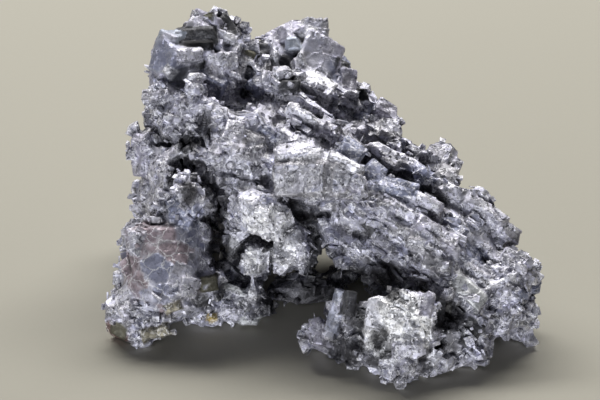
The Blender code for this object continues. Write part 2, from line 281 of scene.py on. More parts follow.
def wormy(points):
    """The nodules over the cave and the bright plate on the lobe."""
    hanging = ball(points, (-16, -12, 24), (15, 12, 19))
    plate = ball(points, (20, -36, 14), (14, 9, 14))
    block = ball(points, (0, -9, 43), (15, 9, 9))
    return np.clip(hanging + plate + block, 0.0, 1.0)


def slope(points):
    """The right slope, whose ridges run down to the right end."""
    x, y, z = (points - SHIFT).T
    return np.clip((x + 6.0) / 14.0, 0.0, 1.0) * np.clip((z - 14.0) / 8.0, 0.0, 1.0)


DOWN_SLOPE = np.array([0.80, -0.36, -0.48])
DOWN_SLOPE /= np.linalg.norm(DOWN_SLOPE)
ACROSS_SLOPE = np.cross(np.array([0.1, -0.5, 0.86]), DOWN_SLOPE)
ACROSS_SLOPE /= np.linalg.norm(ACROSS_SLOPE)
SLOPE_AXES = np.stack([DOWN_SLOPE, ACROSS_SLOPE, np.cross(DOWN_SLOPE, ACROSS_SLOPE)])


def along_slope(points, stretch):
    """Points drawn together along the slope's direction, so that a pattern on them is stretched that
    way."""
    along = points @ DOWN_SLOPE
    return points - np.outer(along * (1.0 - 1.0 / stretch), DOWN_SLOPE)


def panels(points):
    """The flat panels of the smooth places: (owner cell, tilt in mm, how near the point is to a panel's
    rim). Their outlines are jagged, because a finer noise moves the points first."""
    jag = np.stack([
        noise(points / 2.2, 350 + k) + 0.5 * noise(points / 0.9, 360 + k) for k in range(3)], axis=1)
    owner, away, gap = cells(points / 6.0 + 0.16 * jag, 340)
    tilt = (hashed_vector(owner, 347) * away).sum(axis=1) * 6.0
    return owner, tilt, np.exp(-(gap * 6.0 / 0.55) ** 2)


# Relief of the skin

def crystal_exit(points, normals, pitch, half, share, salt):
    """How far crystals reach beyond each point along its normal. A cube stands at a random place in each
    cell of a grid, for a share of the cells, with cubes in one neighbourhood turned alike. A ray leaves
    each point along its normal, and the answer is the farthest place at which it leaves a cube that it
    meets close by."""
    base = np.floor(points / pitch)
    reach = np.zeros(len(points))
    for step in itertools.product((-1, 0, 1), repeat=3):
        held = np.flatnonzero(hashed(base + step, salt + 50) < share)
        cell = base[held] + step
        centre = (cell + 0.5 + 0.4 * hashed_vector(cell, salt)) * pitch
        near = np.linalg.norm(centre - points[held], axis=1) < 2.6 * half[1]
        held, cell, centre = held[near], cell[near], centre[near]
        on_slope = slope(centre) > 0.5
        angles = hashed_vector(np.floor(centre / 15.0), salt + 10) * 1.5
        angles = np.where(on_slope[:, None], 0.0, angles) + hashed_vector(cell, salt + 20) * 0.22
        axes = rotations(angles)
        axes = np.where(on_slope[:, None, None], axes @ SLOPE_AXES, axes)
        sides = (half[0] + (half[1] - half[0]) * hashed(cell, salt + 30)[:, None]) * (
            0.8 + 0.25 * hashed_vector(cell, salt + 40))
        sides = np.where(on_slope[:, None], sides * np.array([1.6, 0.85, 0.8]), sides)
        start = np.einsum("nij,nj->ni", axes, points[held] - centre)
        way = np.einsum("nij,nj->ni", axes, normals[held])
        way = np.where(np.abs(way) < 1e-4, 1e-4, way)
        first = (-sides - start) / way
        last = (sides - start) / way
        enter = np.minimum(first, last).max(axis=1)
        leave = np.maximum(first, last).min(axis=1)
        met = (leave > enter) & (enter < 0.1 * pitch)
        reach[held] = np.where(met, np.maximum(reach[held], leave), reach[held])
    return reach


def layers(points):
    """Broken layers that run down the slopes: a sawtooth across the slope, bent and interrupted by
    noise."""
    place = points @ ACROSS_SLOPE / 3.3 + 0.5 * noise(points / 8.0, 600)
    tooth = place - np.floor(place)
    strength = np.clip(0.55 + 0.9 * noise(along_slope(points, 2.5) / 4.0, 610), 0.0, 1.0)
    return (1.0 - tooth) * strength


def pitted(points, size, share, salt):
    """Small round pits: in a share of the cells, the depth falls from 1 at the seed to 0 at a third of a
    cell."""
    owner, away, _ = cells(points / size, salt)
    depth = np.clip(1.0 - np.sqrt((away ** 2).sum(axis=1)) / 0.42, 0.0, 1.0)
    return np.sqrt(depth) * (hashed(owner, salt + 9) < share)


def blocky(points, size, salt, width):
    """Blocks grown together: each cell has its own lift and tilt, and a crevice about width wide parts it
    from the next: (lift, tilt, crevice)."""
    owner, away, gap = cells(points / size, salt)
    lift = hashed(owner, salt + 6) - 0.5
    tilt = (hashed_vector(owner, salt + 7) * away).sum(axis=1) * size
    return lift, tilt, np.exp(-(gap * size / (2.0 * width)) ** 2)


def foil(points, size, salt):
    """Crumpled foil: sharp ridges where smooth noise passes zero."""
    bent = points + np.stack([noise(points / (size * 2.5), salt + k) for k in (1, 2, 3)], axis=1) * size * 0.6
    return 1.0 - 2.2 * np.abs(noise(bent / size, salt + 4))


def relief(points, normals, named, settings):
    """The skin's new points and how far each was moved; named is how surely a point is on a named
    crystal, where the relief is low. A point starts a little below the solid's surface and moves out
    along its normal to whichever reaches farther: the ground of blocks, layers, worms and pits, or
    crystals, which keep flat faces that way. On smooth places it takes the height of its flat panel
    instead."""
    plain, worm, ridge = smooth_faces(points, normals), wormy(points), slope(points)
    plain = np.maximum(plain, named)
    rough = 1.0 - plain
    inset = 0.7 * rough
    start = points - normals * inset[:, None]
    bend = np.stack([noise(points / 4.5, 450 + k) for k in range(3)], axis=1)
    grown = points + (along_slope(points, 2.2) - points) * ridge[:, None] + 1.1 * bend
    large_lift, large_tilt, large_gap = blocky(grown, settings.large_block / MM, 300, 0.6)
    small_lift, small_tilt, small_gap = blocky(grown, settings.small_block / MM, 320, 0.3)
    calm = 1.0 - 0.8 * worm
    ground = calm * (1.5 * large_lift + 0.16 * large_tilt - 1.5 * large_gap)
    ground += (0.9 * small_lift + 0.22 * small_tilt - 0.7 * small_gap) * (1.0 - 0.6 * worm)
    _, from_seed, lump_gap = cells(points / 2.3 + 0.22 * bend, 440)
    lump = 0.9 - 1.6 * (from_seed ** 2).sum(axis=1) - 0.8 * np.exp(-(lump_gap * 6.0) ** 2)
    ground += ridge * (0.9 * layers(points) - 0.4) + worm * (0.7 * lump + 0.3 * foil(points, 1.5, 440))
    ground += 0.8 * ball(points, *PLATE) * foil(points, 3.0, 460)
    ground += 0.2 * foil(grown, 1.7, 400) - 0.9 * pitted(points, 2.2, 0.3, 500)
    panel, flat_tilt, rim = panels(points)
    flat = 0.25 * rim + 0.05 * flat_tilt + 0.5 * (hashed(panel, 346) - 0.5)
    ground = ground * rough + plain * (1.0 - named) * flat
    reach = ground
    for pitch, half, share, limit, where in (
            (settings.large_crystal, (1.7, 3.2), 0.4, LARGE_LIMIT, (1.0 - 0.9 * worm) * (1.0 - 0.4 * ridge)),
            (settings.middle_crystal, (0.8, 1.6), 0.35, MIDDLE_LIMIT, 1.0 - 0.7 * worm)):
        salt = 100 + int(pitch * 1e5)
        found = crystal_exit(start, normals, pitch / MM, half, share, salt)
        reach = np.maximum(reach, np.minimum(found, limit + inset) * where * (plain < 0.3))
    return start + normals * reach[:, None], reach - inset


# Colour of the stone at a point

BROWN_PATCHES = (
    ((-44.5, -12.5, 26), (6.5, 6, 6)), ((-39.5, -15.5, 21.5), (3, 4, 2)), ((-45, -17.5, 17), (4.5, 4, 4)),
    ((-44, -21, 11), (5.5, 5, 3.5)),
)
RUST_PATCHES = (((-54.5, -24, 3.5), (4.5, 4.5, 4.5)),)
BLUE_PATCHES = (
    ((-37.5, -14, 18), (3.5, 4, 6)), ((-35, -7, 29), (4.5, 5, 6)), ((-42, 24, 57), (6, 7, 9)),
    ((-17, 17, 52), (5, 5, 3)), ((26, -3, 37), (9, 7, 5)), ((42, -17, 22), (4, 4, 4)),
    ((5, 34, 50), (6, 6, 6)), ((14, -8, 44), (8, 5, 3)),
)
# Painted highlight: places painted near white where they catch bright light, the lobe's plate among them
HIGHLIGHT_PATCHES = (((20, -37, 15), (9, 7, 13)), ((11.5, -34, 12), (3, 5, 8)), ((2, 33, 46), (6, 6, 4)))
# The nodules over the cave: painted lighter as a painted highlight, and kept out of the painted shade
NODULES = (
    ((-17.5, -14.9, 19.9), (5, 7, 6.5)), ((-10, -16.5, 27), (4.5, 8, 9)),
    ((-23.8, -7.8, 17.8), (2.6, 6, 5.5)),
    ((-20.3, -17.2, 9.2), (3.5, 6, 4.3)), ((-13.4, -16, 31), (10, 9, 8)),
)
# Painted shade: the cave, the slits between the nodules, the gaps of the lobe and other hollows
SHADED_HOLLOWS = (
    ((2, -8, 14), (14, 14, 13)), ((1, 14, 8), (12, 20, 14)), ((-28.5, -7, 20), (3.2, 8, 12)),
    ((-31, 8, 48), (4, 4, 5)), ((-12, 28, 52), (7, 7, 5)), ((33, -31, 14), (6.5, 7, 6.5)),
    ((-36, 5, 44), (4, 4, 5)),
    ((-12.5, 31, 46), (6, 6, 4)), ((17.9, -33, 25), (3, 6, 5)), ((14.8, -37.6, 11.9), (3.4, 6, 5)),
    ((27, -39, 6.3), (4, 6, 5)), ((9, -33, 16), (3.6, 6, 8)), ((5, -34, 5), (10, 8, 6)),
    ((-25.5, -18, 12), (4, 7, 5)), ((-23.1, -8, 16), (1.2, 6, 5.5)), ((-13.4, -17, 24), (1.2, 5, 6)),
    ((15, -17, 18), (11, 9, 7)), ((-5, -14, 6), (17, 13, 12)), ((14, -36, 5), (5, 6, 3)),
    ((-9.7, -10.5, 39.6), (5, 5, 1.6)),
    ((-35.2, -8.8, 37.4), (3, 5, 4.4)), ((-39, 3.3, 38.8), (3, 4, 3)), ((-17.8, -13, 26), (4.5, 4, 1.5)),
)


def patches(points, places, edge):
    """The strongest of a list of ellipsoids at each point."""
    found = np.zeros(len(points))
    for centre, radii in places:
        found = np.maximum(found, ball(points, centre, radii, edge))
    return found


def tint(points, shade_amount, lightening):
    """The metal's colour at each point, from the regions and from two amounts: painted shade where a point
    lies below what is round it or is enclosed, and how much lighter it is painted, which on the skin is a
    painted highlight where it stands above what is round it and on crystals a random share."""
    colours = bpy.context.scene.galena_colours

    def mix(base, other, share):
        return base + (np.array(other) - base) * share[:, None]

    worm = wormy(points)
    # Painted highlights on raised rims are stronger on the worms
    lightening = lightening * (1.0 + 0.6 * worm)
    owner, _, _ = cells(points / 3.1, 700)
    chance = hashed(owner, 710)
    made = np.tile(np.array(colours.mid_metal), (len(points), 1))
    # Lighter at random by cell, and lighter on the worms, partly a painted highlight on the bright nodules
    # and plate
    made = mix(made, colours.pale_and_highlight, np.clip(0.9 * (chance - 0.55) + 0.45 * worm, 0.0, 1.0))
    # Painted highlight: the nodules and the listed bright places painted light and near white
    nodule = patches(points, NODULES, 0.3)
    made = mix(made, colours.pale_and_highlight, 0.95 * nodule)
    bright = np.maximum(0.9 * patches(points, HIGHLIGHT_PATCHES, 0.15), 0.4 * nodule)
    made = mix(made, colours.bright_highlight, bright)
    made = mix(made, colours.grey_metal, 0.8 * (chance < 0.3) * (1.0 - worm))
    blue = np.maximum(patches(points, BLUE_PATCHES, 0.25), 0.5 * ((chance > 0.3) & (chance < 0.38)))
    made = mix(made, colours.blue_metal, 0.85 * blue)
    panel, _, rim = panels(points)
    left = ball(points, (-42, -16, 20), (17, 12, 16))
    kind = hashed(panel, 349)
    made = mix(made, colours.blue_metal, 0.8 * left * (kind > 0.6))
    made = mix(made, colours.brown_metal, 0.9 * np.maximum(
        patches(points, BROWN_PATCHES, 0.12), left * (kind < 0.25)) * (kind < 0.8))
    # Painted highlight on the rims of the left face's panels
    made = mix(made, colours.pale_and_highlight, 0.5 * left * rim)
    made = mix(made, colours.rust_metal, 0.9 * patches(points, RUST_PATCHES, 0.2))
    # Painted highlight where a point stands above what is round it
    made = mix(made, colours.pale_and_highlight, np.clip(lightening, 0.0, 0.9))
    # Painted shade: near black in the listed hollows and where a point lies below or is enclosed by what is
    # round it, less on the nodules
    hollow = 0.97 * patches(points, SHADED_HOLLOWS, 0.42) * (1.0 - 0.8 * nodule)
    dark = np.maximum(hollow, np.clip(shade_amount, 0.0, 0.93))
    made = mix(made, colours.shade_metal, 0.93 * np.clip(dark, 0.0, 1.0))
    rough = 1.0 - 0.75 * smooth_places(points)
    rough = rough + (0.5 - rough) * np.clip(3.0 * left, 0.0, 1.0)
    return np.concatenate([made, rough[:, None]], axis=1)


# The colours of the crystals that can be told apart, and how much the material's grain shows on each
# light is partly a painted glint where a facet catches the light, and dark and black are partly painted shade
# in gaps and in the valley between the crests
TONES = {
    "light": (0.70, 0.70, 0.77, 0.9), "pale": (0.58, 0.575, 0.66, 1.0), "palegrey": (0.56, 0.57, 0.59, 0.7),
    "mid": (0.46, 0.455, 0.53, 1.0), "lilac": (0.43, 0.42, 0.51, 0.7), "grey": (0.36, 0.355, 0.39, 0.9),
    "ochregrey": (0.27, 0.25, 0.20, 0.8), "bluish": (0.40, 0.43, 0.51, 0.3),
    "bluelight": (0.60, 0.62, 0.74, 0.6),
    "blue": (0.25, 0.265, 0.36, 0.7), "brown": (0.40, 0.355, 0.40, 0.8), "dark": (0.09, 0.09, 0.10, 0.8),
    "black": (0.012, 0.012, 0.014, 0.3), "olive": (0.11, 0.105, 0.08, 0.35), "ochre": (0.60, 0.47, 0.20, 0.7),
}

# Those crystals, noted from the photo: tone, middle across and down and width and height in the photo's
# points, half depth in mm, roll, pitch and yaw in degrees, how far the crystal stands proud in mm, and how
# much it follows the surface, from 0, where it faces the camera, to 1
CRYSTALS = (
    ("bluish", 166, 50, 22, 44, 4, 20, 0, -20, 0.95, 0.3),
    ("lilac", 158, 60, 12, 30, 3, 14, 0, -45, 0.35, 0.3),
    ("dark", 195, 36, 42, 17, 5, -4, -15, 8, 1.95, 0),
    ("black", 196, 44, 34, 8, 4, -2, -30, 5, 1.55, 0),
    ("lilac", 204, 24, 30, 24, 5, 28, 20, 0, 1.55, 0.2),
    ("olive", 216, 27, 7, 30, 4, -38, 0, 35, 0.75, 0),
    ("dark", 229, 26, 14, 26, 4, -35, 0, 25, 0.95, 0.2),
    ("light", 229, 37, 13, 9, 2, 20, 20, 0, 1.35, 0),
    ("light", 236, 48, 10, 8, 2, 10, 20, 0, 1.35, 0),
    ("lilac", 156, 73, 15, 24, 4, 8, 0, -35, 0.35, 0.5),
    ("pale", 190, 56, 24, 13, 3, -5, 20, 0, 1.15, 0.5),
    ("pale", 213, 66, 14, 22, 3, 10, 5, -10, 0.95, 0.5),
    ("pale", 229, 61, 17, 19, 3, -8, 12, 10, 1.15, 0.5),
    ("light", 169, 72, 9, 9, 2, 45, 20, 0, 1.05, 0.5),
    ("light", 194, 76, 18, 8, 2.5, 12, 25, 0, 1.05, 0.5),
    ("grey", 242, 66, 11, 22, 2.5, 25, 5, 15, 0.65, 0.5),
    ("dark", 201, 64, 9, 9, 2, 20, 0, 0, 0.35, 0.5),
    ("pale", 232, 137, 22, 32, 4, 8, 8, 0, 1.45, 0.6),
    ("grey", 253, 146, 30, 28, 4, 14, 5, 10, 0.5, 0.7),
    ("pale", 214, 146, 12, 16, 3, -10, 10, 0, 0.75, 0.6),
    ("mid", 190, 111, 24, 18, 3, 18, 18, 0, 0.65, 0.8),
    ("mid", 176, 127, 14, 22, 3, 10, 5, -10, 0.65, 0.7),
    ("mid", 160, 91, 24, 12, 3, -10, 20, -10, 0.65, 0.7),
    ("light", 175, 157, 17, 6, 1.5, -35, 20, 0, 1.35, 0.3),
    ("pale", 200, 174, 14, 13, 2.5, 10, 12, 0, 1.35, 0.4),
    ("pale", 155, 165, 9, 36, 2.5, 12, 5, -10, 0.75, 0.6),
    ("mid", 166, 161, 8, 32, 2.5, 18, 5, 0, 0.75, 0.6),
    ("lilac", 138, 155, 13, 44, 4, 8, 0, -30, 0.55, 0.5),
    ("pale", 146, 138, 6, 16, 2, 5, 0, -10, 0.95, 0.5),
    ("blue", 259, 90, 27, 10, 3, 27, 0, 10, 0.95, 0.7),
    ("blue", 214, 78, 30, 9, 3, 27, 12, 0, 0.65, 0.7),
    ("pale", 243, 104, 26, 11, 3, 24, 20, 0, 0.75, 0.7),
    ("mid", 265, 113, 20, 13, 3, 20, 10, 0, 0.65, 0.7),
    ("pale", 230, 104, 22, 9, 2.5, 20, 15, 0, 0.65, 0.7),
    ("pale", 205, 103, 18, 8, 2.5, 15, 20, 0, 0.65, 0.7),
    ("light", 303, 115, 38, 7, 2.5, 30, 25, 0, 1.55, 0.4),
    ("mid", 323, 124, 9, 9, 2.5, 30, 12, 10, 1.55, 0.4),
    ("pale", 286, 132, 26, 8, 2.5, 35, 12, 0, 0.75, 0.6),
    ("blue", 268, 131, 18, 10, 2.5, 30, 5, 0, 0.65, 0.7),
    ("mid", 330, 128, 24, 14, 3, 20, 15, 5, 0.75, 0.7),
    ("mid", 340, 112, 22, 12, 3, 28, 15, 5, 0.75, 0.7),
    ("pale", 350, 104, 24, 6, 2, 30, 25, 0, 0.95, 0.6),
    ("mid", 318, 100, 24, 8, 2.5, 20, 15, 0, 0.75, 0.7),
    ("blue", 365, 112, 10, 16, 2.5, 35, 5, 20, 0.75, 0.6),
    ("grey", 301, 178, 60, 38, 5, 0, -2, -5, 0.4, 0.7),
    ("grey", 343, 181, 28, 34, 5, 4, 0, 12, 0.2, 0.7),
    ("pale", 300, 148, 42, 16, 3, -4, 25, 0, 0.55, 0.7),
    ("light", 314, 154, 18, 15, 3, 22, 20, 0, 1.15, 0.6),
    ("pale", 283, 154, 18, 15, 3, -20, 18, -10, 0.95, 0.6),
    ("light", 346, 163, 40, 8, 2.5, 27, 25, 0, 1.45, 0.5),
    ("blue", 352, 150, 26, 20, 3, 35, 2, 5, 0.75, 0.8),
    ("blue", 376, 171, 24, 20, 3, 40, 2, 5, 0.85, 0.8),
    ("blue", 394, 186, 50, 13, 3, 10, 12, 0, 0.75, 0.8),
    ("grey", 326, 207, 18, 10, 3, 0, 5, 0, 0.95, 0.4),
    ("lilac", 350, 195, 16, 14, 3, 10, 5, 5, 0.75, 0.6),
    ("lilac", 283, 32, 38, 17, 4, -32, 12, -10, 0.45, 0.4),
    ("bluish", 293, 44, 14, 12, 3, -10, 0, 0, 1.35, 0.2),
    ("grey", 312, 29, 27, 24, 5, 12, 0, 5, 0.45, 0.3),
    ("light", 310, 35, 8, 13, 1.5, 22, 12, 0, 1.55, 0.2),
    ("lilac", 322, 57, 38, 36, 5, 25, 0, 12, 0.75, 0.4),
    ("light", 319, 84, 34, 20, 4, 24, 18, 0, 1.05, 0.6),
    ("dark", 290, 85, 22, 12, 3, -8, -10, 0, 1.05, 0.4),
    ("dark", 341, 66, 13, 12, 3, 20, 0, 10, 0.75, 0.4),
    ("lilac", 350, 80, 17, 22, 4, 14, 5, 15, 0.75, 0.5),
    ("light", 350, 95, 15, 5, 1.5, 18, 30, 0, 1.55, 0.3),
    ("black", 361, 95, 12, 12, 3, -12, 0, 0, 2.15, 0.2),
    ("lilac", 388, 110, 24, 14, 4, 28, 12, 10, 0.75, 0.6),
    ("grey", 388, 127, 22, 18, 4, 10, 0, 5, 0.55, 0.6),
    ("light", 300, 75, 12, 8, 2, 0, 10, 0, 1.15, 0.3),
    ("light", 254, 66, 4, 14, 1.5, -38, 10, 0, 1.45, 0.2),
    ("light", 276, 60, 5, 16, 1.5, -5, 8, 10, 1.45, 0.2),
    ("light", 301, 60, 5, 16, 1.5, -15, 8, 0, 1.45, 0.2),
    ("pale", 266, 77, 9, 16, 2, 5, 5, -10, 1.45, 0.2),
    ("dark", 262, 50, 16, 14, 3, 40, -10, 0, 0.75, 0.3),
    ("dark", 286, 62, 10, 10, 2, 20, 0, 0, 0.75, 0.3),
    ("olive", 248, 56, 12, 14, 3, 30, -8, 0, 0.75, 0.3),
    ("lilac", 437, 232, 46, 14, 3, 35, 12, 5, 0.7, 0.8),
    ("blue", 471, 257, 26, 14, 3, 40, 4, 5, 0.7, 0.8),
    ("palegrey", 469, 291, 38, 18, 3, 42, 8, 5, 0.8, 0.8),
    ("pale", 385, 150, 32, 9, 2.5, 33, 18, 0, 0.7, 0.8),
    ("pale", 372, 137, 32, 9, 2.5, 20, 20, 0, 0.5, 0.8),
    ("grey", 391, 161, 18, 12, 3, 30, 0, 0, 0.5, 0.8),
    ("pale", 398, 203, 40, 8, 2.5, 33, 18, 0, 0.7, 0.8),
    ("light", 400, 192, 28, 7, 2.5, 25, 22, 0, 0.9, 0.8),
    ("pale", 430, 200, 34, 8, 2.5, 25, 20, 0, 0.7, 0.8),
    ("pale", 449, 189, 24, 12, 3, 20, 18, 0, 0.7, 0.8),
    ("pale", 478, 203, 26, 14, 3, 30, 12, 5, 0.7, 0.8),
    ("blue", 455, 226, 28, 9, 3, 35, 0, 0, 0.7, 0.8),
    ("pale", 488, 244, 13, 32, 3, -32, 8, 10, 0.7, 0.7),
    ("mid", 512, 231, 26, 14, 3, 36, 8, 15, 0.5, 0.7),
    ("grey", 438, 263, 30, 13, 3, 15, 5, 0, 0.4, 0.8),
    ("pale", 446, 265, 7, 7, 1.2, 0, 5, 0, 1.5, 0.6),
    ("grey", 407, 236, 36, 12, 3, 32, 5, 0, 0.5, 0.8),
    ("mid", 392, 222, 30, 10, 3, 35, 12, 0, 0.5, 0.8),
    ("grey", 420, 250, 30, 10, 3, 35, 8, 0, 0.5, 0.8),
    ("mid", 437, 152, 26, 15, 4, 15, 8, 10, 0.5, 0.7),
    ("grey", 448, 172, 20, 14, 3, 30, 5, 10, 0.5, 0.7),
    ("mid", 385, 245, 30, 9, 2.5, 35, 8, 0, 0.6, 0.8),
    ("dark", 372, 232, 10, 20, 2.5, -30, 5, 0, 0.5, 0.6),
    ("pale", 450, 245, 28, 8, 2.5, 35, 15, 0, 0.7, 0.8),
    ("mid", 497, 216, 24, 8, 2.5, 38, 15, 5, 0.6, 0.8),
    ("light", 468, 232, 16, 8, 2.5, 35, 10, 5, 0.8, 0.8),
    ("light", 498, 283, 22, 9, 2.5, -5, 15, 5, 0.8, 0.7),
    ("pale", 480, 270, 26, 9, 2.5, 40, 12, 5, 0.7, 0.8),
    ("olive", 445, 305, 22, 7, 2.5, 30, 10, 0, 0.5, 0.7),
    ("blue", 536, 287, 10, 15, 3, 5, 8, 22, 0.95, 0.4),
    ("pale", 522, 268, 12, 12, 3, 20, 10, 10, 0.95, 0.5),
    ("light", 512, 278, 12, 10, 2.5, -8, 12, 5, 1.15, 0.5),
    ("blue", 524, 296, 12, 10, 2.5, 5, 5, 10, 1.05, 0.5),
    ("pale", 506, 292, 10, 12, 2.5, 0, 8, 5, 1.05, 0.5),
    ("mid", 531, 308, 11, 11, 2.5, 10, 5, 20, 0.95, 0.5),
    ("pale", 514, 310, 11, 11, 2.5, -10, 8, 8, 0.95, 0.5),
    ("mid", 500, 305, 12, 10, 2.5, 5, 10, 0, 0.95, 0.5),
    ("mid", 510, 254, 16, 12, 3, 30, 8, 10, 0.85, 0.6),
    ("grey", 523, 322, 12, 12, 3, 0, 5, 15, 0.95, 0.5),
    ("mid", 505, 325, 12, 14, 3, 10, 5, 5, 0.95, 0.5),
    ("pale", 190, 287, 17, 23, 3, 10, 8, 8, 0.9, 0.5),
    ("ochregrey", 173, 308, 16, 9, 2.5, -20, 8, 0, 0.5, 0.6),
    ("mid", 133, 243, 14, 22, 3, 10, 8, -20, 0.5, 0.7),
    ("pale", 140, 206, 26, 9, 2.5, -8, 20, -10, 0.5, 0.7),
    ("mid", 205, 262, 14, 18, 3, 15, 5, 5, 0.5, 0.5),
    ("pale", 124, 300, 16, 26, 3, -30, 8, -20, 0.5, 0.7),
    ("mid", 207, 232, 12, 18, 3, 10, 8, 5, 0.4, 0.6),
    ("olive", 208, 284, 18, 15, 3, -10, 0, 0, 1.15, 0.2),
    ("palegrey", 229, 287, 30, 7, 2, 14, 12, 0, 1.75, 0.2),
    ("ochregrey", 156, 332, 28, 12, 3, -15, -20, 0, 1.25, 0.2),
    ("olive", 118, 331, 16, 16, 3, 20, 0, 0, 0.35, 0.4),
    ("blue", 173, 209, 12, 20, 2.5, -15, 8, 8, 0.8, 0.5),
    ("blue", 189, 214, 16, 28, 2.5, 25, 4, 8, 0.6, 0.5),
    ("ochre", 212, 317, 8, 5, 1.5, 0, 20, 0, 1.35, 0.3),
    ("pale", 232, 312, 18, 11, 3, 15, 8, 0, 0.95, 0.4),
    ("palegrey", 250, 322, 22, 9, 3, 5, 5, 0, 0.95, 0.4),
    ("dark", 205, 300, 14, 12, 3, 10, 0, 0, 0.75, 0.4),
    ("bluelight", 337, 311, 13, 42, 3, 17, 4, -8, 1.75, 0.2),
    ("dark", 351, 303, 13, 24, 4, 8, 0, 15, 0.95, 0.2),
    ("lilac", 317, 332, 14, 26, 4, -16, 4, -18, 0.75, 0.5),
    ("ochregrey", 329, 330, 10, 18, 3, 5, 0, 10, 0.95, 0.4),
    ("light", 373, 312, 13, 34, 3, 8, 14, -10, 1.75, 0.2),
    ("lilac", 429, 303, 11, 24, 3, 20, 4, 14, 0.45, 0.3),
    ("dark", 439, 320, 7, 44, 3, 12, 0, 30, 0.95, 0.3),
    ("pale", 408, 350, 34, 16, 3, -5, -5, 0, 0.65, 0.6),
    ("pale", 413, 368, 22, 14, 3, 22, 0, 5, 0.75, 0.5),
    ("grey", 452, 342, 18, 24, 4, 5, 0, 5, 0.95, 0.4),
    ("dark", 471, 334, 18, 28, 4, 32, 0, 10, 0.75, 0.4),
    ("pale", 448, 370, 38, 7, 2.5, -22, 12, 0, 0.95, 0.4),
    ("mid", 488, 350, 14, 20, 3, 10, 5, 10, 0.95, 0.5),
    ("light", 436, 358, 8, 18, 2, 30, 0, 0, 0.95, 0.4),
)


def unit(way):
    """A direction of length 1."""
    return way / np.linalg.norm(way)


def towards(way, back, most):
    """A direction, brought back to the angle most from the way to the camera where it is farther off."""
    if way @ back >= math.cos(most):
        return way
    return back * math.cos(most) + unit(way - back * (way @ back)) * math.sin(most)


def placed_crystal(row, tree):
    """One crystal of the table, as its middle, half sizes, facing and width direction. Rays from the
    camera through a grid of places on its outline in the photo meet the solid. Its front looks between
    the camera and the plane through the places met, tilted by its pitch and yaw. Its middle lies on the
    ray through its middle in the photo, at the median depth of those places, less half its depth and plus
    what it stands proud."""
    x, y, width, height, half_depth, roll, pitch, yaw, proud, follow = row
    c, s = math.cos(PHOTO_ELEVATION), math.sin(PHOTO_ELEVATION)
    right, up, back = np.array([[1.0, 0.0, 0.0], [0.0, s, c], [0.0, -c, s]])
    eye = np.array(TARGET) + SHIFT + back * PHOTO_DISTANCE / MM
    focal = PHOTO_LENS / SENSOR * PHOTO_SIZE[0]
    cos_roll, sin_roll = math.cos(math.radians(roll)), math.sin(math.radians(roll))

    def ray(place_x, place_y):
        return (right * (place_x - PHOTO_SIZE[0] / 2) + up * (PHOTO_SIZE[1] / 2 - place_y)) / focal - back

    met = []
    for a, b in itertools.product(np.linspace(-0.45, 0.45, 5) * width, np.linspace(-0.45, 0.45, 5) * height):
        place, _, _, _ = tree.ray_cast(Vector(eye), Vector(ray(
            x + a * cos_roll - b * sin_roll, y + a * sin_roll + b * cos_roll)))
        if place:
            met.append(place)
    if not met:
        raise RuntimeError(f"the crystal at {x}, {y} misses the stone")
    met = np.array(met)
    depth = (eye - met) @ back
    near = met[np.abs(depth - np.median(depth)) < FOOTPRINT_DEPTH]
    facing = back
    if len(near) >= 4:
        facing = np.linalg.svd(near - near.mean(axis=0))[2][2]
        facing = facing * np.sign(facing @ back)
    facing = unit(towards(facing, back, MOST_FOLLOW) * follow + back * (1.0 - follow))
    lean, swing = math.radians(pitch * PITCH_SHARE), math.radians(yaw)
    facing = unit(facing + up * math.tan(lean) + right * math.tan(swing))
    facing = towards(facing, back, MOST_TILT)
    across = right * cos_roll - up * sin_roll
    along = right * sin_roll + up * cos_roll
    across = across - back * (across @ facing) / (back @ facing)
    along = along - back * (along @ facing) / (back @ facing)
    depth = np.median((eye - (near if len(near) else met)) @ back)
    half_width = width / 2 * np.linalg.norm(across) * depth / focal
    across = unit(across)
    half_height = height / 2 * abs(along @ np.cross(facing, across)) * depth / focal
    middle = eye + ray(x, y) * depth + facing * (proud - half_depth)
    return (np.round(middle - SHIFT, 1), np.round((half_width, half_height, half_depth), 1),
            np.round(facing, 2), np.round(across, 2))


@functools.lru_cache(maxsize=1)
def named_crystals():
    """The crystals that can be told apart, as arrays: tones, centres in mm, half sizes and axes. Their
    places are rounded, so that the last digits of a ray don't change the mesh."""
    mesh = bpy.data.objects[NODE].data
    points, _ = mesh_arrays(mesh)
    tree = BVHTree.FromPolygons(points.tolist(), [tuple(p.vertices) for p in mesh.polygons])
    tones = np.array([TONES[row[0]] for row in CRYSTALS])
    placed = np.array([placed_crystal(row[1:], tree) for row in CRYSTALS])
    centres, sides, facing, across = placed.transpose(1, 0, 2)
    facing = facing / np.linalg.norm(facing, axis=1, keepdims=True)
    across = across - facing * (across * facing).sum(axis=1, keepdims=True)
    across /= np.linalg.norm(across, axis=1, keepdims=True)
    return tones, centres + SHIFT, sides, np.stack([across, np.cross(facing, across), facing], axis=1)


def on_crystals(points):
    """For each point, the tone of the named crystal it lies on and how surely it does: 1 well inside the
    crystal's faces, 0 beyond them."""
    tone, sure = np.zeros((len(points), 4)), np.zeros(len(points))
    for its_tone, centre, sides, axes in zip(*named_crystals()):
        near = np.flatnonzero((np.abs(points - centre) < np.linalg.norm(sides) + 1.0).all(axis=1))
        local = np.abs((points[near] - centre) @ axes.T) - sides
        inside = np.clip(1.0 - (local.max(axis=1) - 0.25) / 0.35, 0.0, 1.0)
        better = inside > sure[near]
        tone[near[better]], sure[near[better]] = its_tone, inside[better]
    return tone, sure


# Meshes

def new_piece(name, mesh):
    """A new object in the scene that holds a mesh, a light or a camera."""
    made = bpy.data.objects.new(name, mesh)
    bpy.context.scene.collection.objects.link(made)
    return made


